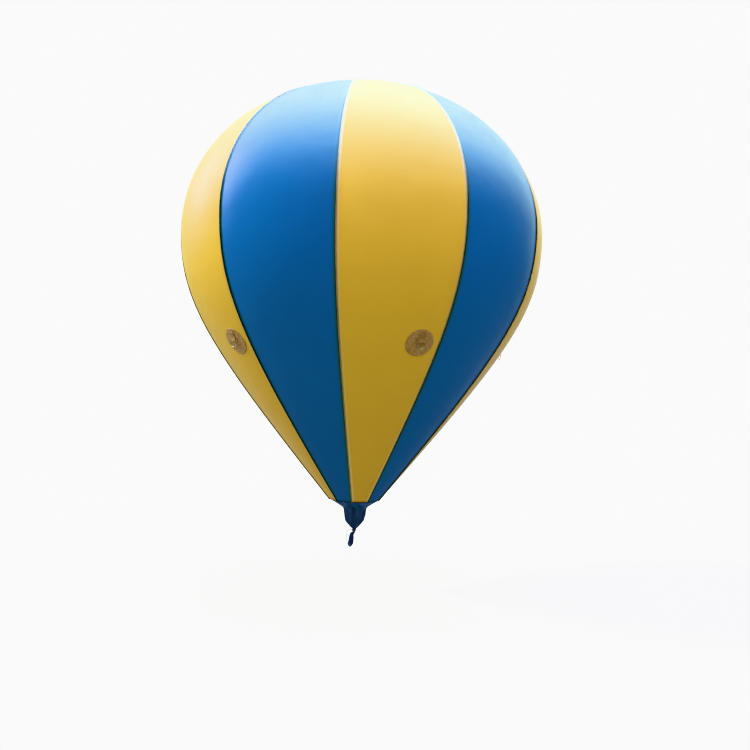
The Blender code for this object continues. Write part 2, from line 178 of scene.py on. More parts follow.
# D-ring of round wire: a straight bar, two short arms and a half-round bow
WIRE_RADIUS = 0.0035
RING_HALF_WIDTH = 0.034
RING_ARM = 0.016
RING_CORNER = 0.008

# Camera at the photograph's angle
CAMERA_PLACE = (-1.30063, -6.63577, -1.32142)
CAMERA_HEADING = math.radians(-12.2846)
CAMERA_PITCH = math.radians(1.5789)
CAMERA_ROLL = math.radians(1.5006)
CAMERA_LENS = 38.331

FLOOR_HEIGHT = -2.93

# Light on matt colour, in (sine of the elevation, colour) pairs: cool from above, warm near the ground
SOFT_STRENGTH = 4.36
SOFT_LEVELS = (
    (-1.0, (0.070, 0.069, 0.046)),
    (-0.3, (0.070, 0.069, 0.046)),
    (0.0, (0.165, 0.163, 0.106)),
    (0.5, (0.241, 0.222, 0.255)),
    (1.0, (0.943, 0.869, 1.000)),
)

# A reflector board below the balloon
BOARD_DIRECTION = (-0.407, -0.035, -0.913)
BOARD_FOCUS = 3.34
BOARD_STRENGTH = 0.306
BOARD_COLOUR = (1.18, 1.16, 0.72, 1.0)

# Light in the gloss: the dim room, a softbox overhead, a tall window at the left and a doorway behind
ROOM_STRENGTH = 1.0
ROOM_LEVELS = (
    (-1.0, (0.260, 0.295, 0.417)),
    (-0.3, (0.260, 0.295, 0.417)),
    (0.0, (0.054, 0.061, 0.086)),
    (0.5, (0.021, 0.024, 0.033)),
    (1.0, (0.098, 0.112, 0.158)),
)
SOFTBOX_DIRECTION = (0.0775, 0.2633, 0.9616)
SOFTBOX_FOCUS = 5.15
SOFTBOX_STRENGTH = 14.1
SOFTBOX_COLOUR = (0.78, 1.10, 0.90, 1.0)
WINDOW_DIRECTION = (-0.7222, 0.5135, 0.4634)
WINDOW_FOCUS = 30.1
WINDOW_STRENGTH = 7.6
WINDOW_COLOUR = (0.78, 0.89, 1.26, 1.0)
DOORWAY_DIRECTION = (0.43, 0.89, 0.12)
DOORWAY_FOCUS = 20.0
DOORWAY_STRENGTH = 0.9
DOORWAY_COLOUR = (0.85, 0.92, 1.15, 1.0)

KEY_AZIMUTH = math.radians(-103.5)
KEY_ELEVATION = math.radians(39.2)
KEY_STRENGTH = 3.02
KEY_COLOUR = (1.00, 1.15, 0.87)
KEY_SPREAD = math.radians(14.0)
BACKDROP_STRENGTH = 2.0
FLOOR_GLOW = 1.2

# A weld's tones from its yellow side to its blue side: the dark olive of the lapped films, with a painted
# highlight in the pale yellow edge
WELD_TONES = (
    (0.00, "F4D898"),
    (0.06, "DCBC74"),
    (0.14, "34381A"),
    (0.84, "1E2C16"),
    (0.94, "1C4250"),
    (1.00, "1E5468"),
)
# Painted highlight: the weld's tones painted near white, used above the widest level
PAINTED_HIGHLIGHT_WELD_TONES = (
    (0.00, "FCFAF0"),
    (0.28, "FFFFFC"),
    (0.74, "FCFEFC"),
    (0.84, "C4DAE2"),
    (0.92, "6EA2C4"),
    (1.00, "3C7CB4"),
)

# The neck film's tones by height: grey at the tail's tip, navy, then the gores' blue under a dark weld
NECK_TONE_HEIGHTS = (-2.590, -2.180)
NECK_TONES = (
    (0.000, "7C828C"),
    (0.040, "5A6478"),
    (0.100, "2C3A6C"),
    (0.360, "2A3C6A"),
    (0.480, "304C74"),
    (0.760, "304C74"),
    (0.900, "24548E"),
    (0.965, "20559A"),
    (0.976, "1C2C22"),
    (1.000, "1C2C22"),
)

Station = namedtuple("Station", "radius height outward")


# ---- Small helpers


def linear(code):
    """The linear colour, with alpha, of an sRGB hex value such as "C69F37"."""
    shades = [int(code[i : i + 2], 16) / 255 for i in (0, 2, 4)]
    parts = [c / 12.92 if c <= 0.04045 else ((c + 0.055) / 1.055) ** 2.4 for c in shades]
    return (*parts, 1.0)


def add(tree, kind, given=None, **settings):
    """Adds a node with its settings. given maps its sockets to values or to other nodes' sockets."""
    node = tree.nodes.new(kind)
    for name, value in settings.items():
        setattr(node, name, value)
    for key, value in (given or {}).items():
        if isinstance(value, bpy.types.NodeSocket):
            tree.links.new(value, node.inputs[key])
        else:
            node.inputs[key].default_value = value
    return node


def add_object(name, data):
    made = bpy.data.objects.new(name, data)
    bpy.context.scene.collection.objects.link(made)
    return made


def around(radius, azimuth, height):
    """The point at this radius, azimuth and height."""
    return Vector((radius * math.sin(azimuth), -radius * math.cos(azimuth), height))


def finish_piece(piece, body, slot, *nodes):
    """The piece rides on its body and stands for the nodes, which it hides. The slot is not used."""
    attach(piece, body)
    if nodes:
        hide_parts(*nodes)


# ---- Outline of the envelope


def outline_handles():
    """The outline's three points in (radius, height), each with its handle below and above."""
    mouth = Vector((MOUTH_RADIUS, -MOUTH_DROP))
    rising = Vector((math.sin(MOUTH_HALF_ANGLE), math.cos(MOUTH_HALF_ANGLE))) * MOUTH_HANDLE
    widest = Vector((WIDEST_RADIUS, 0.0))
    crown = Vector((0.0, CROWN_HEIGHT))
    return (
        (mouth, mouth - rising, mouth + rising),
        (widest, widest - Vector((0.0, LOWER_HANDLE)), widest + Vector((0.0, UPPER_HANDLE))),
        (crown, crown + Vector((CROWN_HANDLE, 0.0)), crown - Vector((CROWN_HANDLE, 0.0))),
    )


class Outline:
    """The envelope's outline, read by the distance along it from the mouth."""

    def __init__(self):
        (mouth, _, rising), (widest, below, above), (crown, beside, _) = outline_handles()
        lower = interpolate_bezier(mouth, rising, below, widest, OUTLINE_STEPS)
        upper = interpolate_bezier(widest, above, beside, crown, OUTLINE_STEPS)
        self.points = [p.to_2d() for p in lower + upper[1:]]
        self.arcs = [0.0]
        for here, after in zip(self.points, self.points[1:]):
            self.arcs.append(self.arcs[-1] + (after - here).length)

    def area_to(self, share):
        """The area that the outline sweeps when it is turned once round, up to this share of its length."""
        total = 0.0
        for near, far, arc in zip(self.points, self.points[1:], self.arcs):
            if arc < share * self.arcs[-1]:
                total += math.pi * (near.x + far.x) * (far - near).length
        return total

    def arc_where(self, reached):
        """The distance to the first point that passes the test."""
        return next(arc for arc, point in zip(self.arcs, self.points) if reached(point))

    def station(self, arc):
        last = len(self.points) - 2
        index = next((i for i, far in enumerate(self.arcs[1:]) if far >= arc), last)
        along = self.points[index + 1] - self.points[index]
        share = (arc - self.arcs[index]) / along.length
        point = self.points[index] + along * share
        along.normalize()
        return Station(point.x, point.y, Vector((along.y, -along.x)))


def outline_curve():
    """The same outline as a curve in the XZ plane, for the node trees."""
    curve = bpy.data.curves.new("outline", "CURVE")
    curve.dimensions = "3D"
    curve.resolution_u = 96
    spline = curve.splines.new("BEZIER")
    spline.bezier_points.add(2)
    for point, (place, before, after) in zip(spline.bezier_points, outline_handles()):
        point.handle_left_type = "FREE"
        point.handle_right_type = "FREE"
        point.co = (place.x, 0.0, place.y)
        point.handle_left = (before.x, 0.0, before.y)
        point.handle_right = (after.x, 0.0, after.y)
    return add_object("outline", curve)


def section_curve(name, points, closed):
    """A flat curve of straight pieces through the points, for the node trees."""
    curve = bpy.data.curves.new(name, "CURVE")
    curve.dimensions = "3D"
    spline = curve.splines.new("POLY")
    spline.points.add(len(points) - 1)
    for spline_point, point in zip(spline.points, points):
        spline_point.co = (*Vector(point).to_3d(), 1.0)
    spline.use_cyclic_u = closed
    return add_object(name, curve)


def lobe_rise(radius, azimuth_in_gore):
    """How far a gore stands out from the mean outline, or its seam lies in."""
    fullness = max(0.0, radius - MOUTH_RADIUS) / (WIDEST_RADIUS - MOUTH_RADIUS)
    across = azimuth_in_gore / GORE_HALF
    return fullness * (LOBE_BULGE * (1.0 - across * across) - SEAM_SINK)


def skin_point(station, gore_azimuth, azimuth_in_gore, lift):
    """A point of a gore's outer skin, lifted along the outline's outward direction."""
    radius = station.radius + lobe_rise(station.radius, azimuth_in_gore)
    radius += lift * station.outward.x
    height = station.height + lift * station.outward.y
    return around(radius, gore_azimuth + azimuth_in_gore, height)


# ---- Node trees


def new_tree(name, inputs):
    """An empty node tree with these named inputs, and the inputs' sockets by name."""
    tree = bpy.data.node_groups.new(name, "GeometryNodeTree")
    for label, kind in inputs.items():
        tree.interface.new_socket(label, in_out="INPUT", socket_type=f"NodeSocket{kind}")
    source = add(tree, "NodeGroupInput")
    return tree, {label: source.outputs[label] for label in inputs}


def close_tree(tree, geometry, material):
    """Ends a tree in real, smooth geometry with its material."""
    tree.interface.new_socket("Geometry", in_out="OUTPUT", socket_type="NodeSocketGeometry")
    real = add(tree, "GeometryNodeRealizeInstances", {"Geometry": geometry})
    smooth = add(tree, "GeometryNodeSetShadeSmooth", {"Geometry": real.outputs[0]})
    dressed = add(
        tree, "GeometryNodeSetMaterial", {"Geometry": smooth.outputs[0], "Material": material}
    )
    add(tree, "NodeGroupOutput", {"Geometry": dressed.outputs[0]})


def run_tree(name, tree, values):
    """Runs a tree with these values for its inputs, and keeps the result as a plain mesh."""
    holder = add_object(name, bpy.data.meshes.new("empty"))
    modifier = holder.modifiers.new("Shape", "NODES")
    modifier.node_group = tree
    for item in tree.interface.items_tree:
        if item.in_out == "INPUT":
            modifier[item.identifier] = values[item.name]
    graph = bpy.context.evaluated_depsgraph_get()
    mesh = bpy.data.meshes.new_from_object(
        holder.evaluated_get(graph), preserve_all_data_layers=True, depsgraph=graph
    )
    bpy.data.objects.remove(holder)
    mesh.name = name
    return add_object(name, mesh)


def pucker_group():
    """Small waves along a seam, which both gores and the weld between them share."""
    tree = bpy.data.node_groups.new("seam pucker", "GeometryNodeTree")
    for label in ("Arc", "Seam", "Depth", "Spacing"):
        tree.interface.new_socket(label, in_out="INPUT", socket_type="NodeSocketFloat")
    tree.interface.new_socket("Rise", in_out="OUTPUT", socket_type="NodeSocketFloat")
    given = add(tree, "NodeGroupInput").outputs
    waves = add(tree, "ShaderNodeMath", {0: given["Arc"], 1: given["Spacing"]}, operation="DIVIDE")
    place = add(tree, "ShaderNodeCombineXYZ", {"X": waves.outputs[0], "Y": given["Seam"]})
    spread = add(
        tree,
        "ShaderNodeTexNoise",
        {"Vector": place.outputs[0], "Scale": 1.0, "Detail": 2.0, "Roughness": 0.5},
        noise_dimensions="2D",
    )
    centred = add(
        tree, "ShaderNodeMath", {0: spread.outputs["Fac"], 1: 0.5}, operation="SUBTRACT"
    )
    doubled = add(
        tree, "ShaderNodeMath", {0: centred.outputs[0], 1: 2.0}, operation="MULTIPLY"
    )
    rise = add(
        tree, "ShaderNodeMath", {0: doubled.outputs[0], 1: given["Depth"]}, operation="MULTIPLY"
    )
    add(tree, "NodeGroupOutput", {"Rise": rise.outputs[0]})
    return tree


def gore_tree(pucker):
    """One gore: a grid laid on the turned outline, lobed between its seams and puckered along them."""
    tree, given = new_tree(
        "gore panel",
        {
            "Outline": "Object",
            "Columns": "Int",
            "Rows": "Int",
            "End share": "Float",
            "Outline length": "Float",
            "Gore azimuth": "Float",
            "Half angle": "Float",
            "Mouth radius": "Float",
            "Widest radius": "Float",
            "Lobe bulge": "Float",
            "Seam sink": "Float",
            "Pucker depth": "Float",
            "Pucker spacing": "Float",
            "Seam before": "Float",
            "Seam after": "Float",
            "Material": "Material",
        },
    )
    grid = add(
        tree,
        "GeometryNodeMeshGrid",
        {"Size X": 2.0, "Size Y": 1.0, "Vertices X": given["Columns"], "Vertices Y": given["Rows"]},
    )
    position = add(tree, "GeometryNodeInputPosition")
    flat = add(tree, "ShaderNodeSeparateXYZ", {0: position.outputs[0]})
    across = flat.outputs["X"]
    share = add(
        tree,
        "ShaderNodeMapRange",
        {"Value": flat.outputs["Y"], "From Min": -0.5, "From Max": 0.5, "To Max": given["End share"]},
    )
    outline = add(tree, "GeometryNodeObjectInfo", {"Object": given["Outline"]})
    on_outline = add(
        tree,
        "GeometryNodeSampleCurve",
        {"Curves": outline.outputs["Geometry"], "Factor": share.outputs[0]},
        mode="FACTOR",
    )
    profile = add(tree, "ShaderNodeSeparateXYZ", {0: on_outline.outputs["Position"]})
    radius = profile.outputs["X"]
    arc = add(
        tree,
        "ShaderNodeMath",
        {0: share.outputs[0], 1: given["Outline length"]},
        operation="MULTIPLY",
    )

    fullness = add(
        tree,
        "ShaderNodeMapRange",
        {"Value": radius, "From Min": given["Mouth radius"], "From Max": given["Widest radius"]},
    )
    squared = add(tree, "ShaderNodeMath", {0: across, 1: across}, operation="MULTIPLY")
    domed = add(tree, "ShaderNodeMath", {0: 1.0, 1: squared.outputs[0]}, operation="SUBTRACT")
    bulge = add(
        tree, "ShaderNodeMath", {0: domed.outputs[0], 1: given["Lobe bulge"]}, operation="MULTIPLY"
    )
    lobe = add(
        tree, "ShaderNodeMath", {0: bulge.outputs[0], 1: given["Seam sink"]}, operation="SUBTRACT"
    )

    side = add(tree, "ShaderNodeMath", {0: across, 1: 0.0}, operation="GREATER_THAN")
    seam = add(
        tree,
        "GeometryNodeSwitch",
        {"Switch": side.outputs[0], "False": given["Seam before"], "True": given["Seam after"]},
        input_type="FLOAT",
    )
    waves = add(
        tree,
        "GeometryNodeGroup",
        node_tree=pucker,
    )
    for label, socket in (
        ("Arc", arc.outputs[0]),
        ("Seam", seam.outputs[0]),
        ("Depth", given["Pucker depth"]),
        ("Spacing", given["Pucker spacing"]),
    ):
        tree.links.new(socket, waves.inputs[label])
    outer = add(tree, "ShaderNodeMath", {0: squared.outputs[0], 1: 5.0}, operation="POWER")
    ruffle = add(
        tree, "ShaderNodeMath", {0: waves.outputs[0], 1: outer.outputs[0]}, operation="MULTIPLY"
    )
    shape = add(
        tree, "ShaderNodeMath", {0: lobe.outputs[0], 1: ruffle.outputs[0]}, operation="ADD"
    )
    rise = add(
        tree, "ShaderNodeMath", {0: shape.outputs[0], 1: fullness.outputs[0]}, operation="MULTIPLY"
    )

    reach = add(tree, "ShaderNodeMath", {0: radius, 1: rise.outputs[0]}, operation="ADD")
    front = add(tree, "ShaderNodeMath", {0: reach.outputs[0], 1: -1.0}, operation="MULTIPLY")
    before = add(
        tree, "ShaderNodeCombineXYZ", {"Y": front.outputs[0], "Z": profile.outputs["Z"]}
    )
    turn = add(
        tree,
        "ShaderNodeMath",
        {0: across, 1: given["Half angle"], 2: given["Gore azimuth"]},
        operation="MULTIPLY_ADD",
    )
    turned = add(
        tree,
        "ShaderNodeVectorRotate",
        {"Vector": before.outputs[0], "Angle": turn.outputs[0]},
        rotation_type="Z_AXIS",
    )

    half = add(tree, "ShaderNodeMath", {0: radius, 1: given["Half angle"]}, operation="MULTIPLY")
    metres = add(tree, "ShaderNodeMath", {0: across, 1: half.outputs[0]}, operation="MULTIPLY")
    pattern = add(
        tree, "ShaderNodeCombineXYZ", {"X": metres.outputs[0], "Y": arc.outputs[0]}
    )
    away = add(tree, "ShaderNodeMath", {0: metres.outputs[0]}, operation="ABSOLUTE")
    edge = add(
        tree, "ShaderNodeMath", {0: half.outputs[0], 1: away.outputs[0]}, operation="SUBTRACT"
    )
    mapped = add(
        tree,
        "GeometryNodeStoreNamedAttribute",
        {"Geometry": grid.outputs["Mesh"], "Name": "UVMap", "Value": pattern.outputs[0]},
        data_type="FLOAT2",
        domain="CORNER",
    )
    edged = add(
        tree,
        "GeometryNodeStoreNamedAttribute",
        {"Geometry": mapped.outputs[0], "Name": "edge_distance", "Value": edge.outputs[0]},
        data_type="FLOAT",
        domain="POINT",
    )
    placed_grid = add(
        tree,
        "GeometryNodeSetPosition",
        {"Geometry": edged.outputs[0], "Position": turned.outputs[0]},
    )
    close_tree(tree, placed_grid.outputs[0], given["Material"])
    return tree


def weld_tree(pucker):
    """A raised weld swept up the outline at a seam, with its own flat map: across 0 to 1, and metres along."""
    tree, given = new_tree(
        "lap weld",
        {
            "Outline": "Object",
            "Section": "Object",
            "Steps": "Int",
            "End share": "Float",
            "Seam azimuth": "Float",
            "Mouth radius": "Float",
            "Widest radius": "Float",
            "Seam sink": "Float",
            "Pucker depth": "Float",
            "Pucker spacing": "Float",
            "Seam": "Float",
            "Half width": "Float",
            "Map turn": "Float",
            "Material": "Material",
        },
    )
    outline = add(tree, "GeometryNodeObjectInfo", {"Object": given["Outline"]})
    trimmed = add(
        tree,
        "GeometryNodeTrimCurve",
        {"Curve": outline.outputs["Geometry"], 3: given["End share"]},
        mode="FACTOR",
    )
    stepped = add(
        tree, "GeometryNodeResampleCurve", {"Curve": trimmed.outputs[0], "Count": given["Steps"]}
    )
    position = add(tree, "GeometryNodeInputPosition")
    tangent = add(tree, "GeometryNodeInputTangent")
    spline = add(tree, "GeometryNodeSplineParameter")
    profile = add(tree, "ShaderNodeSeparateXYZ", {0: position.outputs[0]})
    rising = add(tree, "ShaderNodeSeparateXYZ", {0: tangent.outputs[0]})
    fullness = add(
        tree,
        "ShaderNodeMapRange",
        {
            "Value": profile.outputs["X"],
            "From Min": given["Mouth radius"],
            "From Max": given["Widest radius"],
        },
    )
    waves = add(tree, "GeometryNodeGroup", node_tree=pucker)
    for label, socket in (
        ("Arc", spline.outputs["Length"]),
        ("Seam", given["Seam"]),
        ("Depth", given["Pucker depth"]),
        ("Spacing", given["Pucker spacing"]),
    ):
        tree.links.new(socket, waves.inputs[label])
    shape = add(
        tree, "ShaderNodeMath", {0: waves.outputs[0], 1: given["Seam sink"]}, operation="SUBTRACT"
    )
    reach = add(
        tree,
        "ShaderNodeMath",
        {0: shape.outputs[0], 1: fullness.outputs[0], 2: profile.outputs["X"]},
        operation="MULTIPLY_ADD",
    )
    front = add(tree, "ShaderNodeMath", {0: reach.outputs[0], 1: -1.0}, operation="MULTIPLY")
    before = add(
        tree, "ShaderNodeCombineXYZ", {"Y": front.outputs[0], "Z": profile.outputs["Z"]}
    )
    outward_y = add(
        tree, "ShaderNodeMath", {0: rising.outputs["Z"], 1: -1.0}, operation="MULTIPLY"
    )
    outward_z = add(
        tree, "ShaderNodeMath", {0: rising.outputs["X"], 1: -1.0}, operation="MULTIPLY"
    )
    outward = add(
        tree, "ShaderNodeCombineXYZ", {"Y": outward_y.outputs[0], "Z": outward_z.outputs[0]}
    )
    captured = add(tree, "GeometryNodeCaptureAttribute", {"Geometry": stepped.outputs[0]})
    captured.capture_items.new("VECTOR", "Outward")
    captured.capture_items.new("FLOAT", "Arc")
    tree.links.new(outward.outputs[0], captured.inputs["Outward"])
    tree.links.new(spline.outputs["Length"], captured.inputs["Arc"])
    turns = []
    for vector in (before.outputs[0], captured.outputs["Outward"]):
        turned = add(
            tree,
            "ShaderNodeVectorRotate",
            {"Vector": vector, "Angle": given["Seam azimuth"]},
            rotation_type="Z_AXIS",
        )
        turns.append(turned.outputs[0])
    path = add(
        tree,
        "GeometryNodeSetPosition",
        {"Geometry": captured.outputs["Geometry"], "Position": turns[0]},
    )
    upright = add(
        tree, "GeometryNodeSetCurveNormal", {"Curve": path.outputs[0]}, mode="FREE"
    )
    tree.links.new(turns[1], upright.inputs["Normal"])

    section = add(tree, "GeometryNodeObjectInfo", {"Object": given["Section"]})
    flat = add(tree, "ShaderNodeSeparateXYZ", {0: position.outputs[0]})
    sided = add(
        tree, "ShaderNodeMath", {0: flat.outputs["X"], 1: given["Map turn"]}, operation="MULTIPLY"
    )
    shares = add(
        tree, "ShaderNodeMath", {0: sided.outputs[0], 1: given["Half width"]}, operation="DIVIDE"
    )
    halves = add(
        tree, "ShaderNodeMath", {0: shares.outputs[0], 1: 0.5, 2: 0.5}, operation="MULTIPLY_ADD"
    )
    marked = add(
        tree, "GeometryNodeCaptureAttribute", {"Geometry": section.outputs["Geometry"]}
    )
    marked.capture_items.new("FLOAT", "Across")
    tree.links.new(halves.outputs[0], marked.inputs["Across"])
    swept = add(
        tree,
        "GeometryNodeCurveToMesh",
        {
            "Curve": upright.outputs[0],
            "Profile Curve": marked.outputs["Geometry"],
            "Fill Caps": True,
        },
    )
    pattern = add(
        tree,
        "ShaderNodeCombineXYZ",
        {"X": marked.outputs["Across"], "Y": captured.outputs["Arc"]},
    )
    mapped = add(
        tree,
        "GeometryNodeStoreNamedAttribute",
        {"Geometry": swept.outputs[0], "Name": "UVMap", "Value": pattern.outputs[0]},
        data_type="FLOAT2",
        domain="CORNER",
    )
    close_tree(tree, mapped.outputs[0], given["Material"])
    return tree


def rope_tree():
    """Twisted strands round a path, with a map that runs round and along each strand."""
    tree, given = new_tree(
        "twisted cord",
        {
            "Path": "Object",
            "Strands": "Int",
            "Diameter": "Float",
            "Lay": "Float",
            "Step": "Float",
            "Material": "Material",
        },
    )
    path = add(tree, "GeometryNodeObjectInfo", {"Object": given["Path"]})
    stepped = add(
        tree,
        "GeometryNodeResampleCurve",
        {"Curve": path.outputs["Geometry"], "Length": given["Step"]},
        mode="LENGTH",
    )
    copies = add(
        tree,
        "GeometryNodeDuplicateElements",
        {"Geometry": stepped.outputs[0], "Amount": given["Strands"]},
        domain="SPLINE",
    )
    phase = add(
        tree,
        "ShaderNodeMath",
        {0: copies.outputs["Duplicate Index"], 1: given["Strands"]},
        operation="DIVIDE",
    )
    spline = add(tree, "GeometryNodeSplineParameter")
    turns = add(
        tree, "ShaderNodeMath", {0: spline.outputs["Length"], 1: given["Lay"]}, operation="DIVIDE"
    )
    total = add(
        tree, "ShaderNodeMath", {0: turns.outputs[0], 1: phase.outputs[0]}, operation="ADD"
    )
    angle = add(
        tree, "ShaderNodeMath", {0: total.outputs[0], 1: math.tau}, operation="MULTIPLY"
    )
    tangent = add(tree, "GeometryNodeInputTangent")
    normal = add(tree, "GeometryNodeInputNormal")
    spoke = add(
        tree,
        "ShaderNodeVectorRotate",
        {
            "Vector": normal.outputs[0],
            "Axis": tangent.outputs[0],
            "Angle": angle.outputs[0],
        },
        rotation_type="AXIS_ANGLE",
    )
    strand_share = 1.0 / (1.0 + 2.0 / math.sqrt(3.0))
    strand = add(
        tree,
        "ShaderNodeMath",
        {0: given["Diameter"], 1: 0.5 * strand_share * 1.08},
        operation="MULTIPLY",
    )
    offset = add(
        tree,
        "ShaderNodeMath",
        {0: given["Diameter"], 1: 0.5 * (1.0 - strand_share)},
        operation="MULTIPLY",
    )
    shift = add(
        tree, "ShaderNodeVectorMath", {0: spoke.outputs[0], "Scale": offset.outputs[0]}, operation="SCALE"
    )
    wound = add(
        tree,
        "GeometryNodeSetPosition",
        {"Geometry": copies.outputs["Geometry"], "Offset": shift.outputs[0]},
    )
    circle = add(
        tree, "GeometryNodeCurvePrimitiveCircle", {"Resolution": 10, "Radius": strand.outputs[0]}
    )
    swept = add(
        tree,
        "GeometryNodeCurveToMesh",
        {"Curve": wound.outputs[0], "Profile Curve": circle.outputs[0], "Fill Caps": True},
    )
    close_tree(tree, swept.outputs[0], given["Material"])
    return tree


def stitch_tree():
    """Short raised stitches of thread along a sewn line."""
    tree, given = new_tree(
        "stitches",
        {
            "Line": "Object",
            "Pitch": "Float",
            "Length": "Float",
            "Thread": "Float",
            "Material": "Material",
        },
    )
    line = add(tree, "GeometryNodeObjectInfo", {"Object": given["Line"]})
    stepped = add(
        tree,
        "GeometryNodeResampleCurve",
        {"Curve": line.outputs["Geometry"], "Length": given["Pitch"]},
        mode="LENGTH",
    )
    tangent = add(tree, "GeometryNodeInputTangent")
    aligned = add(
        tree, "FunctionNodeAlignRotationToVector", {"Vector": tangent.outputs[0]}, axis="X"
    )
    bead = add(
        tree, "GeometryNodeMeshUVSphere", {"Segments": 8, "Rings": 5, "Radius": 0.5}
    )
    size = add(
        tree,
        "ShaderNodeCombineXYZ",
        {"X": given["Length"], "Y": given["Thread"], "Z": given["Thread"]},
    )
    placed_beads = add(
        tree,
        "GeometryNodeInstanceOnPoints",
        {
            "Points": stepped.outputs[0],
            "Instance": bead.outputs["Mesh"],
            "Rotation": aligned.outputs[0],
            "Scale": size.outputs[0],
        },
    )
    close_tree(tree, placed_beads.outputs[0], given["Material"])
    return tree


# ---- Mesh code


def grid_mesh(name, rows, material, wraps, metres=None):
    """A smooth surface through rows of points. Its map is the metres along and down, or the rows and columns."""
    columns = len(rows[0])
    points = [p for row in rows for p in row]
    spans = columns if wraps else columns - 1
    faces, corners = [], []
    for i in range(len(rows) - 1):
        for j in range(spans):
            k = (j + 1) % columns
            faces.append((i * columns + j, i * columns + k, (i + 1) * columns + k, (i + 1) * columns + j))
            corners += [(j, i), (j + 1, i), (j + 1, i + 1), (j, i + 1)]
    mesh = bpy.data.meshes.new(name)
    mesh.from_pydata(points, [], faces)
    across, along = metres or (1.0 / spans, 1.0 / (len(rows) - 1))
    flat_map = mesh.uv_layers.new(name="UVMap")
    for loop, (j, i) in zip(flat_map.data, corners):
        loop.uv = (j * across, i * along)
    mesh.materials.append(material)
    mesh.shade_smooth()
    return add_object(name, mesh)


def face_outward(piece, closes=True):
    """Merges doubled points, closes round openings and turns the faces outward."""
    shape = bmesh.new()
    shape.from_mesh(piece.data)
    bmesh.ops.remove_doubles(shape, verts=shape.verts, dist=1e-6)
    bmesh.ops.dissolve_degenerate(shape, edges=shape.edges, dist=1e-7)
    if closes:
        open_edges = [edge for edge in shape.edges if edge.is_boundary]
        bmesh.ops.holes_fill(shape, edges=open_edges)
    bmesh.ops.recalc_face_normals(shape, faces=shape.faces)
    shape.to_mesh(piece.data)
    shape.free()
    piece.data.shade_smooth()


def smooth_samples(rows, count):
    """Evenly spaced samples on a smooth line through rows of numbers, such as a profile's."""
    vectors = [tuple(row) for row in rows]
    width = len(vectors[0])
    first = tuple(2 * a - b for a, b in zip(vectors[0], vectors[1]))
    last = tuple(2 * a - b for a, b in zip(vectors[-1], vectors[-2]))
    padded = [first, *vectors, last]
    fine = []
    for before, start, end, after in zip(padded, padded[1:], padded[2:], padded[3:]):
        for step in range(ROUTE_STEPS):
            t = step / ROUTE_STEPS
            fine.append(
                tuple(
                    0.5
                    * (
                        2 * start[k]
                        + (end[k] - before[k]) * t
                        + (2 * before[k] - 5 * start[k] + 4 * end[k] - after[k]) * t * t
                        + (3 * start[k] - before[k] - 3 * end[k] + after[k]) * t**3
                    )
                    for k in range(width)
                )
            )
    fine.append(vectors[-1])
    arcs = [0.0]
    for here, after in zip(fine, fine[1:]):
        arcs.append(arcs[-1] + math.dist(here[:2], after[:2]))
    picked = []
    index = 0
    for k in range(count):
        target = arcs[-1] * k / (count - 1)
        while index < len(arcs) - 2 and arcs[index + 1] < target:
            index += 1
        share = (target - arcs[index]) / (arcs[index + 1] - arcs[index])
        picked.append(tuple(a + (b - a) * share for a, b in zip(fine[index], fine[index + 1])))
    return picked


def gathered_wave(azimuth, pleats, drop, seed):
    """Uneven pleats round a gathered tube: from -1 in the folds' valleys to 1 on their crests."""
    circle = Vector((math.cos(azimuth), math.sin(azimuth), seed))
    wander = noise.noise(circle * 1.3) * 1.6 + noise.noise(circle * 3.1) * 0.5
    phase = pleats * azimuth + wander * 2.0 + 6.0 * drop
    ridge = 1.0 - abs(math.sin(phase / 2.0)) ** 0.75 * 2.0
    fine = noise.noise(Vector((circle.x * 5.0, circle.y * 5.0, seed + drop * 12.0)))
    return 0.8 * ridge + 0.5 * fine


# ---- Materials


def start_material(name):
    material = bpy.data.materials.new(name)
    material.use_nodes = True
    tree = material.node_tree
    return material, tree, tree.nodes["Principled BSDF"]


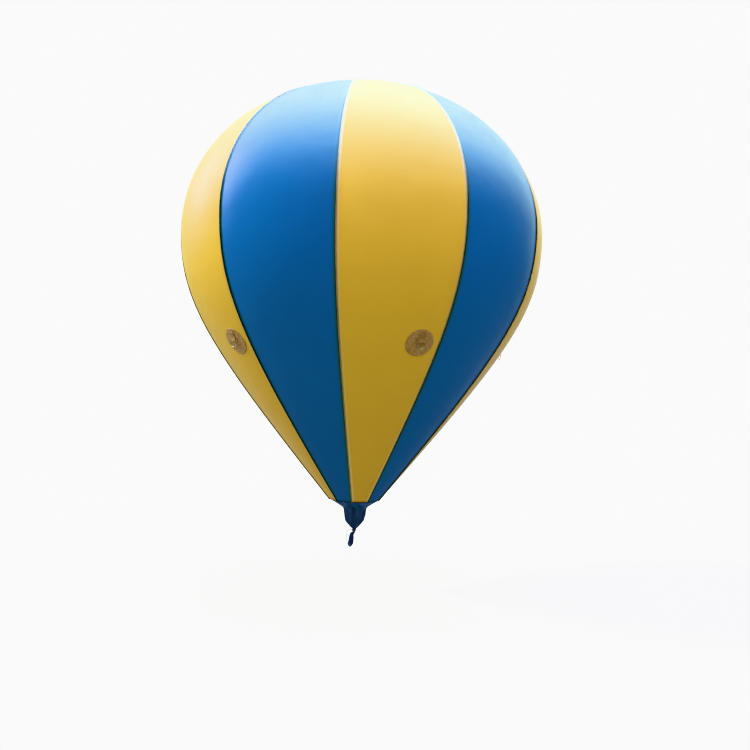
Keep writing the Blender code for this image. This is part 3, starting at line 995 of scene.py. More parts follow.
def calendered_film(name, tones, band_tone_then_painted_highlight, band_width, gloss_tone, gloss):
    """PVC film, calendered: one even colour with a satin skin that picks up a soft bright sky.

    Heat has changed its colour in a narrow band beside each weld, and that band is painted paler towards the top
    as a painted highlight; painted shade darkens the film towards the mouth.
    """
    material, tree, shader = start_material(name)
    shader.inputs["IOR"].default_value = 1.53
    shader.inputs["Specular IOR Level"].default_value = gloss
    shader.inputs["Specular Tint"].default_value = linear(gloss_tone)
    place = add(tree, "ShaderNodeTexCoord").outputs["Object"]

    # Cloudy shifts of tone a hand's breadth across, and painted shade that darkens the film below the widest
    # level, more towards the mouth
    clouds = add(tree, "ShaderNodeTexNoise", {"Vector": place, "Scale": 5.0, "Detail": 4.0})
    height = add(tree, "ShaderNodeSeparateXYZ", {0: place})
    low = add(
        tree,
        "ShaderNodeMapRange",
        {"Value": height.outputs["Z"], "From Min": -1.1, "From Max": -2.2, "To Max": 0.6},
    )
    # Painted shade: the cloudy mix leans to the darker tone from 1.1 m below the widest level down to the mouth
    cloudy = add(
        tree,
        "ShaderNodeMath",
        {0: clouds.outputs["Fac"], 1: 0.5, 2: low.outputs[0]},
        operation="MULTIPLY_ADD",
        use_clamp=True,
    )
    body = add(
        tree,
        "ShaderNodeMix",
        {"Factor": cloudy.outputs[0], 6: linear(tones[0]), 7: linear(tones[1])},
        data_type="RGBA",
    )
    # Painted highlight: from the widest level up, the band beside the weld is painted in its paler second tone
    painted_highlight_height = add(
        tree,
        "ShaderNodeMapRange",
        {"Value": height.outputs["Z"], "From Min": 0.0, "From Max": 0.4},
        interpolation_type="SMOOTHSTEP",
    )
    weld_band_with_painted_highlight = add(
        tree,
        "ShaderNodeMix",
        {"Factor": painted_highlight_height.outputs[0], 6: linear(band_tone_then_painted_highlight[0]), 7: linear(band_tone_then_painted_highlight[1])},
        data_type="RGBA",
    )

    # The band beside the weld, uneven as the welding wheel leaves it
    edge = add(tree, "ShaderNodeAttribute", attribute_name="edge_distance")
    ragged = add(tree, "ShaderNodeTexNoise", {"Vector": place, "Scale": 40.0, "Detail": 2.0})
    reach = add(
        tree,
        "ShaderNodeMapRange",
        {"Value": ragged.outputs["Fac"], "To Min": band_width - 0.004, "To Max": band_width + 0.004},
    )
    band = add(
        tree,
        "ShaderNodeMapRange",
        {"Value": edge.outputs["Fac"], "From Min": 0.012, "From Max": reach.outputs[0]},
    )
    coloured = add(
        tree,
        "ShaderNodeMix",
        {"Factor": band.outputs[0], 6: weld_band_with_painted_highlight.outputs[2], 7: body.outputs[2]},
        data_type="RGBA",
    )
    tree.links.new(coloured.outputs[2], shader.inputs["Base Color"])

    # The skin: duller patches 150 mm across
    dull = add(tree, "ShaderNodeTexNoise", {"Vector": place, "Scale": 7.0, "Detail": 3.0})
    rough = add(
        tree,
        "ShaderNodeMapRange",
        {"Value": dull.outputs["Fac"], "From Min": 0.3, "From Max": 0.7, "To Min": 0.30, "To Max": 0.38},
    )
    tree.links.new(rough.outputs[0], shader.inputs["Roughness"])

    # Slack waves 120 mm long and 0.5 mm deep, and a calender grain drawn at 5 mm, coarser than the real 1 mm
    slack = add(tree, "ShaderNodeTexNoise", {"Vector": place, "Scale": 8.0, "Detail": 1.0})
    waves = add(
        tree,
        "ShaderNodeBump",
        {"Height": slack.outputs["Fac"], "Strength": 1.0, "Distance": 0.0015},
    )
    grit = add(tree, "ShaderNodeTexNoise", {"Vector": place, "Scale": 200.0, "Detail": 2.0})
    grain = add(
        tree,
        "ShaderNodeBump",
        {
            "Height": grit.outputs["Fac"],
            "Strength": 0.35,
            "Distance": 0.0002,
            "Normal": waves.outputs[0],
        },
    )
    tree.links.new(grain.outputs[0], shader.inputs["Normal"])
    return material


def tone_ramp(tree, share, tones):
    """The output of a colour ramp through (position, sRGB hex) pairs."""
    ramp = add(tree, "ShaderNodeValToRGB", {"Fac": share})
    elements = ramp.color_ramp.elements
    for element, (position, code) in zip(elements, (tones[0], tones[-1])):
        element.position = position
        element.color = linear(code)
    for position, code in tones[1:-1]:
        elements.new(position).color = linear(code)
    return ramp.outputs[0]


def gathered_film():
    """PVC film, gathered: blue to navy, with painted highlight and painted shade along its creases and a dull,
    handled skin.

    A dark weld joins its upper edge to the gores, and its cut end at the tip is scuffed grey.
    """
    material, tree, shader = start_material("pvc film, gathered, navy")
    shader.inputs["IOR"].default_value = 1.53
    shader.inputs["Specular IOR Level"].default_value = 0.6
    place = add(tree, "ShaderNodeTexCoord").outputs["Object"]
    height = add(tree, "ShaderNodeSeparateXYZ", {0: place})
    low, high = NECK_TONE_HEIGHTS
    share = add(
        tree,
        "ShaderNodeMapRange",
        {"Value": height.outputs["Z"], "From Min": low, "From Max": high},
    )
    tones = tone_ramp(tree, share.outputs[0], NECK_TONES)

    # Creases that run down the film, 20 to 60 mm apart, paler or darker than the film between them: painted
    # highlight and painted shade
    stretched = add(
        tree, "ShaderNodeVectorMath", {0: place, 1: (1.0, 1.0, 0.12)}, operation="MULTIPLY"
    )
    creases = add(
        tree,
        "ShaderNodeTexNoise",
        {"Vector": stretched.outputs[0], "Scale": 22.0, "Detail": 3.0, "Distortion": 0.4},
    )
    # Painted highlight and painted shade: the creases scale the film's tone from 0.45 to 1.5
    painted_crease_shade_and_highlight = add(
        tree,
        "ShaderNodeMapRange",
        {"Value": creases.outputs["Fac"], "From Min": 0.35, "From Max": 0.65, "To Min": 0.45, "To Max": 1.5},
    )
    body = add(
        tree,
        "ShaderNodeVectorMath",
        {0: tones, "Scale": painted_crease_shade_and_highlight.outputs[0]},
        operation="SCALE",
    )
    tree.links.new(body.outputs[0], shader.inputs["Base Color"])
    rough = add(
        tree,
        "ShaderNodeMapRange",
        {"Value": creases.outputs["Fac"], "From Min": 0.35, "From Max": 0.65, "To Min": 0.46, "To Max": 0.30},
    )
    tree.links.new(rough.outputs[0], shader.inputs["Roughness"])
    folds = add(
        tree,
        "ShaderNodeBump",
        {"Height": creases.outputs["Fac"], "Strength": 0.8, "Distance": 0.006},
    )
    crumple = add(tree, "ShaderNodeTexNoise", {"Vector": place, "Scale": 90.0, "Detail": 2.0})
    crumpled = add(
        tree,
        "ShaderNodeBump",
        {
            "Height": crumple.outputs["Fac"],
            "Strength": 0.4,
            "Distance": 0.0012,
            "Normal": folds.outputs[0],
        },
    )
    tree.links.new(crumpled.outputs[0], shader.inputs["Normal"])
    return material


def lap_weld():
    """PVC film, two layers heat-welded: blue seen through yellow, a dark olive green, glossy where it melted."""
    material, tree, shader = start_material("pvc film, lap weld")
    shader.inputs["IOR"].default_value = 1.53
    shader.inputs["Specular IOR Level"].default_value = 0.7
    mapped = add(tree, "ShaderNodeUVMap", uv_map="UVMap")
    place = add(tree, "ShaderNodeTexCoord").outputs["Object"]
    flat = add(tree, "ShaderNodeSeparateXYZ", {0: mapped.outputs[0]})
    ragged = add(tree, "ShaderNodeTexNoise", {"Vector": place, "Scale": 30.0, "Detail": 3.0})
    shifted = add(
        tree,
        "ShaderNodeMath",
        {0: ragged.outputs["Fac"], 1: 0.36, 2: flat.outputs["X"]},
        operation="MULTIPLY_ADD",
    )
    centred = add(tree, "ShaderNodeMath", {0: shifted.outputs[0], 1: 0.18}, operation="SUBTRACT")
    # The lapped films' dark olive, with a painted highlight along the pale yellow edge
    lapped = tone_ramp(tree, centred.outputs[0], WELD_TONES)
    painted_highlight_tones = tone_ramp(tree, centred.outputs[0], PAINTED_HIGHLIGHT_WELD_TONES)

    # Above the widest level the laps are painted near white: a painted highlight
    height = add(tree, "ShaderNodeSeparateXYZ", {0: place})
    painted_highlight_height = add(
        tree,
        "ShaderNodeMapRange",
        {"Value": height.outputs["Z"], "From Min": 0.0, "From Max": 0.6},
        interpolation_type="SMOOTHSTEP",
    )
    tones = add(
        tree,
        "ShaderNodeMix",
        {"Factor": painted_highlight_height.outputs[0], 6: lapped, 7: painted_highlight_tones},
        data_type="RGBA",
    )
    tree.links.new(tones.outputs[2], shader.inputs["Base Color"])

    # Ribs that the welding wheel presses in, 9 mm apart, coarser than the real 2 mm so that they show
    ribs = add(
        tree,
        "ShaderNodeMath",
        {0: flat.outputs["Y"], 1: math.tau / 0.009},
        operation="MULTIPLY",
    )
    wave = add(tree, "ShaderNodeMath", {0: ribs.outputs[0]}, operation="SINE")
    pressed = add(
        tree,
        "ShaderNodeBump",
        {"Height": wave.outputs[0], "Strength": 0.6, "Distance": 0.00035},
    )
    tree.links.new(pressed.outputs[0], shader.inputs["Normal"])
    rough = add(
        tree,
        "ShaderNodeMapRange",
        {"Value": ragged.outputs["Fac"], "From Min": 0.3, "From Max": 0.7, "To Min": 0.20, "To Max": 0.36},
    )
    tree.links.new(rough.outputs[0], shader.inputs["Roughness"])
    return material


def glued_patch():
    """PVC film disc, solvent-glued: the yellow shows through a cloudy brown layer of dried glue."""
    material, tree, shader = start_material("pvc disc, solvent glued")
    shader.inputs["IOR"].default_value = 1.53
    shader.inputs["Specular IOR Level"].default_value = 0.5
    place = add(tree, "ShaderNodeTexCoord").outputs["Object"]
    mapped = add(tree, "ShaderNodeUVMap", uv_map="UVMap")
    reach = add(tree, "ShaderNodeSeparateXYZ", {0: mapped.outputs[0]})
    clouds = add(
        tree,
        "ShaderNodeTexNoise",
        {"Vector": place, "Scale": 38.0, "Detail": 4.0, "Distortion": 1.2},
    )
    tones = add(tree, "ShaderNodeValToRGB", {"Fac": clouds.outputs["Fac"]})
    ramp = tones.color_ramp
    ramp.elements[0].position = 0.34
    ramp.elements[0].color = linear("A4804E")
    ramp.elements[1].position = 0.68
    ramp.elements[1].color = linear("C4A47C")
    ramp.elements.new(0.5).color = linear("B8946A")
    rim = add(tree, "ShaderNodeValToRGB", {"Fac": reach.outputs["Y"]})
    rim.color_ramp.elements[0].position = 0.60
    rim.color_ramp.elements[0].color = (0.0, 0.0, 0.0, 1.0)
    rim.color_ramp.elements[1].position = 0.80
    rim.color_ramp.elements[1].color = (1.0, 1.0, 1.0, 1.0)
    body = add(
        tree,
        "ShaderNodeMix",
        {"Factor": rim.outputs[0], 6: tones.outputs[0], 7: linear("92703E")},
        data_type="RGBA",
    )
    tree.links.new(body.outputs[2], shader.inputs["Base Color"])
    rough = add(
        tree,
        "ShaderNodeMapRange",
        {"Value": clouds.outputs["Fac"], "From Min": 0.3, "From Max": 0.7, "To Min": 0.35, "To Max": 0.55},
    )
    tree.links.new(rough.outputs[0], shader.inputs["Roughness"])
    lumps = add(
        tree,
        "ShaderNodeBump",
        {"Height": clouds.outputs["Fac"], "Strength": 0.5, "Distance": 0.0010},
    )
    tree.links.new(lumps.outputs[0], shader.inputs["Normal"])
    return material


def woven_webbing():
    """Polyester webbing, woven: weathered to tan, matt, with fine ribs along and across the strap."""
    material, tree, shader = start_material("polyester webbing, woven")
    shader.inputs["Roughness"].default_value = 0.82
    shader.inputs["Sheen Weight"].default_value = 0.25
    mapped = add(tree, "ShaderNodeUVMap", uv_map="UVMap").outputs[0]
    # Ribs 2.4 mm apart along the strap, and picks 3 mm apart across it
    warp = add(
        tree,
        "ShaderNodeTexWave",
        {"Vector": mapped, "Scale": math.tau / (20.0 * 0.0024), "Distortion": 0.4},
        wave_type="BANDS",
        bands_direction="X",
    )
    weft = add(
        tree,
        "ShaderNodeTexWave",
        {"Vector": mapped, "Scale": math.tau / (20.0 * 0.0030), "Distortion": 0.4},
        wave_type="BANDS",
        bands_direction="Y",
    )
    weave = add(
        tree,
        "ShaderNodeMath",
        {0: warp.outputs["Fac"], 1: weft.outputs["Fac"]},
        operation="MULTIPLY",
    )
    tones = add(
        tree,
        "ShaderNodeMix",
        {"Factor": weave.outputs[0], 6: linear("98784C"), 7: linear("C4A070")},
        data_type="RGBA",
    )
    tree.links.new(tones.outputs[2], shader.inputs["Base Color"])
    threads = add(
        tree,
        "ShaderNodeBump",
        {"Height": weave.outputs[0], "Strength": 0.8, "Distance": 0.0005},
    )
    tree.links.new(threads.outputs[0], shader.inputs["Normal"])
    return material


def sewing_thread():
    """Polyester thread, bonded: weathered cream, with a slight sheen."""
    material, tree, shader = start_material("polyester thread, bonded")
    shader.inputs["Roughness"].default_value = 0.55
    place = add(tree, "ShaderNodeTexCoord").outputs["Object"]
    fibres = add(tree, "ShaderNodeTexNoise", {"Vector": place, "Scale": 900.0, "Detail": 2.0})
    tones = add(
        tree,
        "ShaderNodeMix",
        {"Factor": fibres.outputs["Fac"], 6: linear("9C8C66"), 7: linear("CFC09A")},
        data_type="RGBA",
    )
    tree.links.new(tones.outputs[2], shader.inputs["Base Color"])
    return material


def twisted_polyester():
    """Polyester cord, three strands twisted: dark grey, matt, fine fibres along each strand."""
    material, tree, shader = start_material("polyester cord, twisted")
    shader.inputs["Roughness"].default_value = 0.78
    shader.inputs["Sheen Weight"].default_value = 0.1
    place = add(tree, "ShaderNodeTexCoord").outputs["Object"]
    fibres = add(
        tree, "ShaderNodeTexNoise", {"Vector": place, "Scale": 700.0, "Detail": 3.0}
    )
    tones = add(
        tree,
        "ShaderNodeMix",
        {"Factor": fibres.outputs["Fac"], 6: linear("1E2426"), 7: linear("4C5452")},
        data_type="RGBA",
    )
    tree.links.new(tones.outputs[2], shader.inputs["Base Color"])
    threads = add(
        tree,
        "ShaderNodeBump",
        {"Height": fibres.outputs["Fac"], "Strength": 0.6, "Distance": 0.0004},
    )
    tree.links.new(threads.outputs[0], shader.inputs["Normal"])
    return material


def polished_steel():
    """Stainless steel wire, polished: warm and bright, with duller spots from handling."""
    material, tree, shader = start_material("stainless steel wire, polished")
    shader.inputs["Metallic"].default_value = 1.0
    place = add(tree, "ShaderNodeTexCoord").outputs["Object"]
    spots = add(tree, "ShaderNodeTexNoise", {"Vector": place, "Scale": 220.0, "Detail": 4.0})
    tones = add(
        tree,
        "ShaderNodeMix",
        {"Factor": spots.outputs["Fac"], 6: linear("C8AA7C"), 7: linear("F0DCAE")},
        data_type="RGBA",
    )
    tree.links.new(tones.outputs[2], shader.inputs["Base Color"])
    rough = add(
        tree,
        "ShaderNodeMapRange",
        {"Value": spots.outputs["Fac"], "From Min": 0.35, "From Max": 0.7, "To Min": 0.28, "To Max": 0.50},
    )
    tree.links.new(rough.outputs[0], shader.inputs["Roughness"])
    return material


def studio_paint():
    """Studio floor, matt emulsion: pale and even, with the faint mottle of a roller."""
    material, tree, shader = start_material("studio floor, matt emulsion")
    shader.inputs["Roughness"].default_value = 0.95
    shader.inputs["Specular IOR Level"].default_value = 0.0
    place = add(tree, "ShaderNodeTexCoord").outputs["Object"]
    mottle = add(tree, "ShaderNodeTexNoise", {"Vector": place, "Scale": 1.2, "Detail": 5.0})
    tones = add(
        tree,
        "ShaderNodeMix",
        {"Factor": mottle.outputs["Fac"], 6: linear("8A8D8A"), 7: linear("929592")},
        data_type="RGBA",
    )
    tree.links.new(tones.outputs[2], shader.inputs["Base Color"])

    # Evenly lit from its own white, as bright as the backdrop
    shader.inputs["Emission Color"].default_value = (1.0, 1.0, 1.0, 1.0)
    shader.inputs["Emission Strength"].default_value = FLOOR_GLOW

    # From below, the floor lets the balloon show
    under = add(tree, "ShaderNodeNewGeometry").outputs["Backfacing"]
    clear = add(tree, "ShaderNodeBsdfTransparent")
    seen = add(
        tree, "ShaderNodeMixShader", {0: under, 1: shader.outputs[0], 2: clear.outputs[0]}
    )
    tree.links.new(seen.outputs[0], tree.nodes["Material Output"].inputs["Surface"])
    return material


def make_materials():
    return {
        "yellow": calendered_film(
            "pvc film, calendered, yellow",
            tones=("ECC34E", "DEB346"),
            # The band beside the welds, then its paler tone above the widest level as a painted highlight
            band_tone_then_painted_highlight=("F8DCA0", "FFFDF0"),
            band_width=0.024,
            gloss_tone="FFFCF0",
            gloss=0.74,
        ),
        "blue": calendered_film(
            "pvc film, calendered, blue",
            tones=("0D65B6", "0C5AA4"),
            # The band beside the welds, then its paler tone above the widest level as a painted highlight
            band_tone_then_painted_highlight=("2A667C", "2A74B4"),
            band_width=0.036,
            gloss_tone="D0ECFF",
            gloss=0.80,
        ),
        "navy": gathered_film(),
        "weld": lap_weld(),
        "patch": glued_patch(),
        "webbing": woven_webbing(),
        "thread": sewing_thread(),
        "cord": twisted_polyester(),
        "steel": polished_steel(),
        "floor": studio_paint(),
    }


# ---- The envelope


def make_envelope(outline, materials):
    """Ten gores and the ten lap welds that join them."""
    line = outline_curve()
    section = section_curve("weld section", WELD_SECTION, closed=True)
    pucker = pucker_group()
    gore, weld = gore_tree(pucker), weld_tree(pucker)
    length = outline.arcs[-1]
    gore_end = outline.arc_where(lambda p: p.y > 0 and p.x < GORE_END_RADIUS) / length
    weld_end = outline.arc_where(lambda p: p.y > 0 and p.x < CROWN_PATCH_RADIUS) / length
    gore_area = outline.area_to(gore_end) / GORES
    shared = {
        "Outline": line,
        "Mouth radius": MOUTH_RADIUS,
        "Widest radius": WIDEST_RADIUS,
        "Seam sink": SEAM_SINK,
        "Pucker depth": PUCKER_DEPTH,
        "Pucker spacing": PUCKER_SPACING,
    }
    for index in range(GORES):
        colour = ("yellow", "blue")[index % 2]
        name = f"gore_{colour}_{index // 2 + 1}"
        made = run_tree(
            f"{name}_film",
            gore,
            {
                **shared,
                "Columns": GORE_COLUMNS,
                "Rows": GORE_ROWS,
                "End share": gore_end,
                "Outline length": length,
                "Gore azimuth": 2 * GORE_HALF * index,
                "Half angle": GORE_HALF,
                "Lobe bulge": LOBE_BULGE,
                "Seam before": float((index - 1) % GORES),
                "Seam after": float(index),
                "Material": materials[colour],
            },
        )
        wall = made.modifiers.new("Film", "SOLIDIFY")
        wall.thickness = GORE_FILM
        wall.offset = -1.0
        finish_piece(made, "envelope", f"{colour}_film", name)

        number = index + 1
        strip = run_tree(
            f"lap_weld_{number:02d}",
            weld,
            {
                **shared,
                "Section": section,
                "Steps": WELD_STEPS,
                "End share": weld_end,
                "Seam azimuth": GORE_HALF * (2 * index + 1),
                "Seam": float(index),
                "Half width": WELD_HALF_WIDTH,
                "Map turn": 1.0 if index % 2 == 0 else -1.0,
                "Material": materials["weld"],
            },
        )
        finish_piece(strip, "envelope", "seam_film", f"seam_strip_{number:02d}")
    bpy.data.objects.remove(line)
    bpy.data.objects.remove(section)


def disc_rows(reach, rise_at, segments, place):
    """Rows of points from a disc's centre over its rounded rim and back under it."""
    steps = [0.0, 0.12, 0.3, 0.5, 0.68, 0.8, 0.86, 0.90, 0.93, 0.96, 0.985, 0.997, 1.0]
    rows = []
    for share in steps:
        row = []
        for j in range(segments):
            angle = math.tau * j / segments
            row.append(place(reach * share, angle, rise_at(share, angle)))
        rows.append(row)
    for share in (1.0, 0.9, 0.5, 0.0):
        row = []
        for j in range(segments):
            row.append(place(reach * share, math.tau * j / segments, 0.0003))
        rows.append(row)
    return rows


def rim_rise(share, lump):
    """The height of a film disc with a welded rim: a low bead near its edge, then a round shoulder."""
    bead = 0.0010 * math.exp(-(((share - 0.93) / 0.03) ** 2))
    shoulder = max(0.0, 1.0 - ((share - 0.96) / 0.04) ** 2) ** 0.5 if share > 0.96 else 1.0
    return (0.0034 + bead + lump) * shoulder + 0.0003


def make_crown_patch(outline, materials):
    """The round patch over the gores' upper ends, with the ten welds felt faintly through it."""
    top = outline.arcs[-1]

    def place(reach, angle, lift):
        station = outline.station(top - reach)
        radius = 0.0 if reach == 0.0 else station.radius
        return around(radius + lift * station.outward.x * min(1.0, reach / 0.01), angle, station.height + lift)

    def rise(share, angle):
        ridge = 0.0005 * share * max(0.0, math.cos(GORES * (angle - GORE_HALF))) ** 6
        return rim_rise(share, ridge)

    rows = disc_rows(CROWN_PATCH_RADIUS - 0.0003, rise, 120, place)
    made = grid_mesh("crown_patch_film", rows, materials["blue"], wraps=True)
    face_outward(made)
    finish_piece(made, "envelope", "blue_film", "crown_patch")


# ---- The mouth, neck, tie and tail


def revolved_film(name, profile, count, segments, seed, materials, twist=0.0):
    """A gathered film tube, from (radius, drop, pleat depth) samples down its length."""
    rows = []
    for radius, drop, depth in smooth_samples(profile, count):
        row = []
        for j in range(segments):
            azimuth = math.tau * j / segments
            wave = gathered_wave(azimuth, NECK_PLEATS, drop, seed)
            row.append(around(radius * (1.0 + depth * wave), azimuth + twist * drop, -MOUTH_DROP - drop))
        rows.append(row)
    made = grid_mesh(name, rows, materials["navy"], wraps=True, metres=(0.6 / segments, 0.25 / count))
    return made


def declare_tube(profile):
    """Sums a tube's length along the profile and the area it sweeps, and keeps neither."""
    length, area = 0.0, 0.0
    for near, far in zip(profile, profile[1:]):
        step = math.dist(near[:2], far[:2])
        length += step
        area += math.pi * (near[0] + far[0]) * step


def make_collar_and_neck(materials):
    """The shallow cone under the gores, and the sleeve that the tie draws together."""
    collar = revolved_film("mouth_collar_film", COLLAR_PROFILE, 40, 240, 3.0, materials)
    wall = collar.modifiers.new("Film", "SOLIDIFY")
    wall.thickness = GORE_FILM
    wall.offset = -1.0
    face_outward(collar, closes=False)
    finish_piece(collar, "envelope", "neck_film", "mouth_collar")
    declare_tube(COLLAR_PROFILE)

    neck = revolved_film("neck_sleeve_film", NECK_PROFILE, 90, 240, 3.0, materials)
    face_outward(neck, closes=False)
    wall = neck.modifiers.new("Film", "SOLIDIFY")
    wall.thickness = 0.001
    wall.offset = -1.0
    finish_piece(neck, "envelope", "neck_film", "neck_sleeve")
    declare_tube(NECK_PROFILE)


def tail_frame():
    """Level directions towards the lean of the tail and across it."""
    lean = around(1.0, TAIL_SIDE, 0.0)
    return lean, Vector((-lean.y, lean.x, 0.0))


def make_tail(materials):
    """The folded, flattened film below the tie, with sharp folds that wander down it."""
    lean, across = tail_frame()
    rows = []
    for drop, offset, half_width, half_depth, fold in smooth_samples(TAIL_SECTIONS, 70):
        centre = lean * offset + Vector((0.0, 0.0, -MOUTH_DROP - drop))
        row = []
        for j in range(120):
            angle = math.tau * j / 120
            crease = 1.0 - 2.0 * abs(math.sin(TAIL_FOLDS * (angle + 3.0 * drop) / 2.0)) ** 0.7
            circle = Vector((math.cos(angle) * 1.7, math.sin(angle) * 1.7, drop * 22.0))
            crumple = noise.noise(circle) + 0.5 * noise.noise(circle * 2.3)
            swell = 1.0 + fold * (0.75 * crease + 0.8 * crumple)
            row.append(
                centre
                + lean * (half_width * swell * math.cos(angle))
                + across * (half_depth * swell * math.sin(angle))
            )
        rows.append(row)
    made = grid_mesh("neck_tail_film", rows, materials["navy"], wraps=True, metres=(0.001, 0.002))
    face_outward(made)
    finish_piece(made, "envelope", "neck_film", "neck_tail")


def cord_route():
    """Evenly spaced points on a smooth curve through the route of the tie cord's free end."""
    lean, _ = tail_frame()
    picked = smooth_samples(CORD_ROUTE, CORD_POINTS)
    return [lean * out + Vector((0.0, 0.0, -MOUTH_DROP - drop)) for out, drop in picked]


def make_cord_end(rope, materials):
    """The free end of the tie cord. It springs from the tie and hangs."""
    route = cord_route()
    path = section_curve("cord path", route, closed=False)
    made = run_tree(
        "tie_cord_end",
        rope,
        {
            "Path": path,
            "Strands": STRANDS,
            "Diameter": CORD_DIAMETER,
            "Lay": STRAND_LAY,
            "Step": 0.0012,
            "Material": materials["cord"],
        },
    )
    bpy.data.objects.remove(path)
    length = sum((b - a).length for a, b in zip(route, route[1:]))
    finish_piece(made, "envelope", "tie_cord", "neck_cord_end")
    tuple(route[0])
    [tuple(p) for p in route]


def tie_path():
    """The winding: three turns down the gathered film, close together."""
    radius = TIE_INNER_RADIUS + TIE_CORD / 2
    points = []
    steps = 40 * TIE_TURNS
    for k in range(steps + 1):
        turn = k / 40
        drop = TIE_DROP + TIE_CORD / 2 + (TIE_CORD * (TIE_TURNS - 1)) * turn / TIE_TURNS
        points.append(around(radius, TAIL_SIDE + math.tau * turn, -MOUTH_DROP - drop))
    return points


def knot_path():
    """A small overhand knot on the tie, where the cord's free end leaves it."""
    lean, across = tail_frame()
    middle = lean * 0.0165 + Vector((0.0, 0.0, -MOUTH_DROP - TIE_DROP - 0.0075))
    points = []
    for k in range(97):
        t = math.tau * k / 96
        sideways = math.sin(t) + 2 * math.sin(2 * t)
        upward = math.cos(t) - 2 * math.cos(2 * t)
        outward = -math.sin(3 * t)
        points.append(
            middle
            + across * (sideways * 0.0026)
            + Vector((0.0, 0.0, upward * 0.0026))
            + lean * (outward * 0.0028)
        )
    return points


def make_tie(rope, materials):
    for name, points, nodes in (
        ("tie_winding", tie_path(), ("neck_tie",)),
        ("tie_knot", knot_path(), ()),
    ):
        path = section_curve(name, points, closed=False)
        made = run_tree(
            name,
            rope,
            {
                "Path": path,
                "Strands": STRANDS,
                "Diameter": TIE_CORD,
                "Lay": STRAND_LAY * 0.8,
                "Step": 0.0012,
                "Material": materials["cord"],
            },
        )
        bpy.data.objects.remove(path)
        finish_piece(made, "envelope", "tie_cord", *nodes)


# ---- Tether points


def tether_skin_point(outline, azimuth, arc, across, up, lift):
    """A point of a yellow gore's skin, given by distances across and up from a tether point."""
    station = outline.station(arc + up)
    in_gore = TETHER_OFFSET + across / station.radius
    return skin_point(station, azimuth, in_gore, lift)


def tether_frame(outline, azimuth, arc):
    """The patch's outer face at its centre: across and level, up the slope, and outward."""
    lift = CURVED_GAP + PATCH_THICKNESS
    reach = TAB_WIDTH / 2
    centre = tether_skin_point(outline, azimuth, arc, 0.0, 0.0, lift)
    right = tether_skin_point(outline, azimuth, arc, reach, 0.0, lift)
    left = tether_skin_point(outline, azimuth, arc, -reach, 0.0, lift)
    above = tether_skin_point(outline, azimuth, arc, 0.0, reach, lift)
    below = tether_skin_point(outline, azimuth, arc, 0.0, -reach, lift)
    across = (right - left).normalized()
    outward = across.cross(above - below).normalized()
    return centre, across, outward.cross(across), outward


def placed(origin, x_axis, y_axis, z_axis):
    rotation = Matrix((x_axis, y_axis, z_axis)).transposed().to_4x4()
    return Matrix.Translation(origin) @ rotation


def make_patch(number, outline, azimuth, arc, materials):
    """A round film disc glued to the gore, lumpy where glue lies under it."""

    def place(reach, angle, lift):
        return tether_skin_point(
            outline, azimuth, arc, reach * math.cos(angle), reach * math.sin(angle), lift + 0.0002
        )

    def rise(share, angle):
        spot = Vector((share * math.cos(angle) * 2.4, share * math.sin(angle) * 2.4, number * 7.0))
        return rim_rise(share, 0.0005 * noise.noise(spot))

    made = grid_mesh(
        f"tether_patch_disc_{number}", disc_rows(PATCH_RADIUS, rise, 72, place), materials["patch"], wraps=True
    )
    face_outward(made)
    finish_piece(made, "envelope", "patch_film", f"tether_patch_{number}")


def strap_line():
    """The strap's middle line from the side, about the bar's centre: (up the slope, outward) points."""
    loop = BAR_HOLE_RADIUS + TAB_STRAP / 2
    under = -(BAR_HOLE_RADIUS + TAB_STRAP) + TAB_STRAP / 2
    over = under + TAB_STRAP
    steps = 10
    line = [(TAB_LENGTH * (1 - k / steps), under) for k in range(steps)]
    for k in range(13):
        angle = math.radians(270 - 210 * k / 12)
        line.append((loop * math.cos(angle), loop * math.sin(angle)))
    line += [(TAB_MERGE * 0.62, over + 0.0024), (TAB_MERGE, over + 0.0003)]
    line += [(TAB_MERGE + (TAB_LENGTH - TAB_MERGE) * k / steps, over) for k in range(1, steps + 1)]
    return line


def make_tab(number, frame, materials):
    """A strap folded round the bar and sewn to itself, with rounded selvedges."""
    line = strap_line()
    half, thick = TAB_WIDTH / 2, TAB_STRAP / 2
    section = [
        (-half, 0.0),
        (-half + 0.0006, thick * 0.8),
        (-half + 0.002, thick),
        (0.0, thick),
        (half - 0.002, thick),
        (half - 0.0006, thick * 0.8),
        (half, 0.0),
        (half - 0.0006, -thick * 0.8),
        (half - 0.002, -thick),
        (0.0, -thick),
        (-half + 0.002, -thick),
        (-half + 0.0006, -thick * 0.8),
    ]
    rows = []
    for i, (up, out) in enumerate(line):
        before, after = line[max(i - 1, 0)], line[min(i + 1, len(line) - 1)]
        along = Vector((after[0] - before[0], after[1] - before[1])).normalized()
        normal = Vector((-along.y, along.x))
        rows.append(
            [
                frame @ Vector((x, up + normal.x * y, out + normal.y * y))
                for x, y in section
            ]
        )
    made = grid_mesh(f"webbing_strap_{number}", rows, materials["webbing"], wraps=True)
    flat_map = made.data.uv_layers["UVMap"].data
    arcs = [0.0]
    for here, after in zip(line, line[1:]):
        arcs.append(arcs[-1] + math.dist(here, after))
    columns = len(section)
    for polygon in made.data.polygons:
        for loop in polygon.loop_indices:
            vertex = made.data.loops[loop].vertex_index
            flat_map[loop].uv = (section[vertex % columns][0], arcs[vertex // columns])
    face_outward(made)
    finish_piece(made, "envelope", "webbing", f"webbing_tab_{number}")


def stitch_lines():
    """The sewn box and its cross, about the bar's centre, on the strap's face."""
    left, right, low, high = STITCH_BOX
    face = -(BAR_HOLE_RADIUS + TAB_STRAP) + 2 * TAB_STRAP + 0.0001
    corners = [(left, low), (right, low), (right, high), (left, high)]
    points = [*corners, corners[0], corners[2], corners[3], corners[1]]
    return [Vector((x, y, face)) for x, y in points]


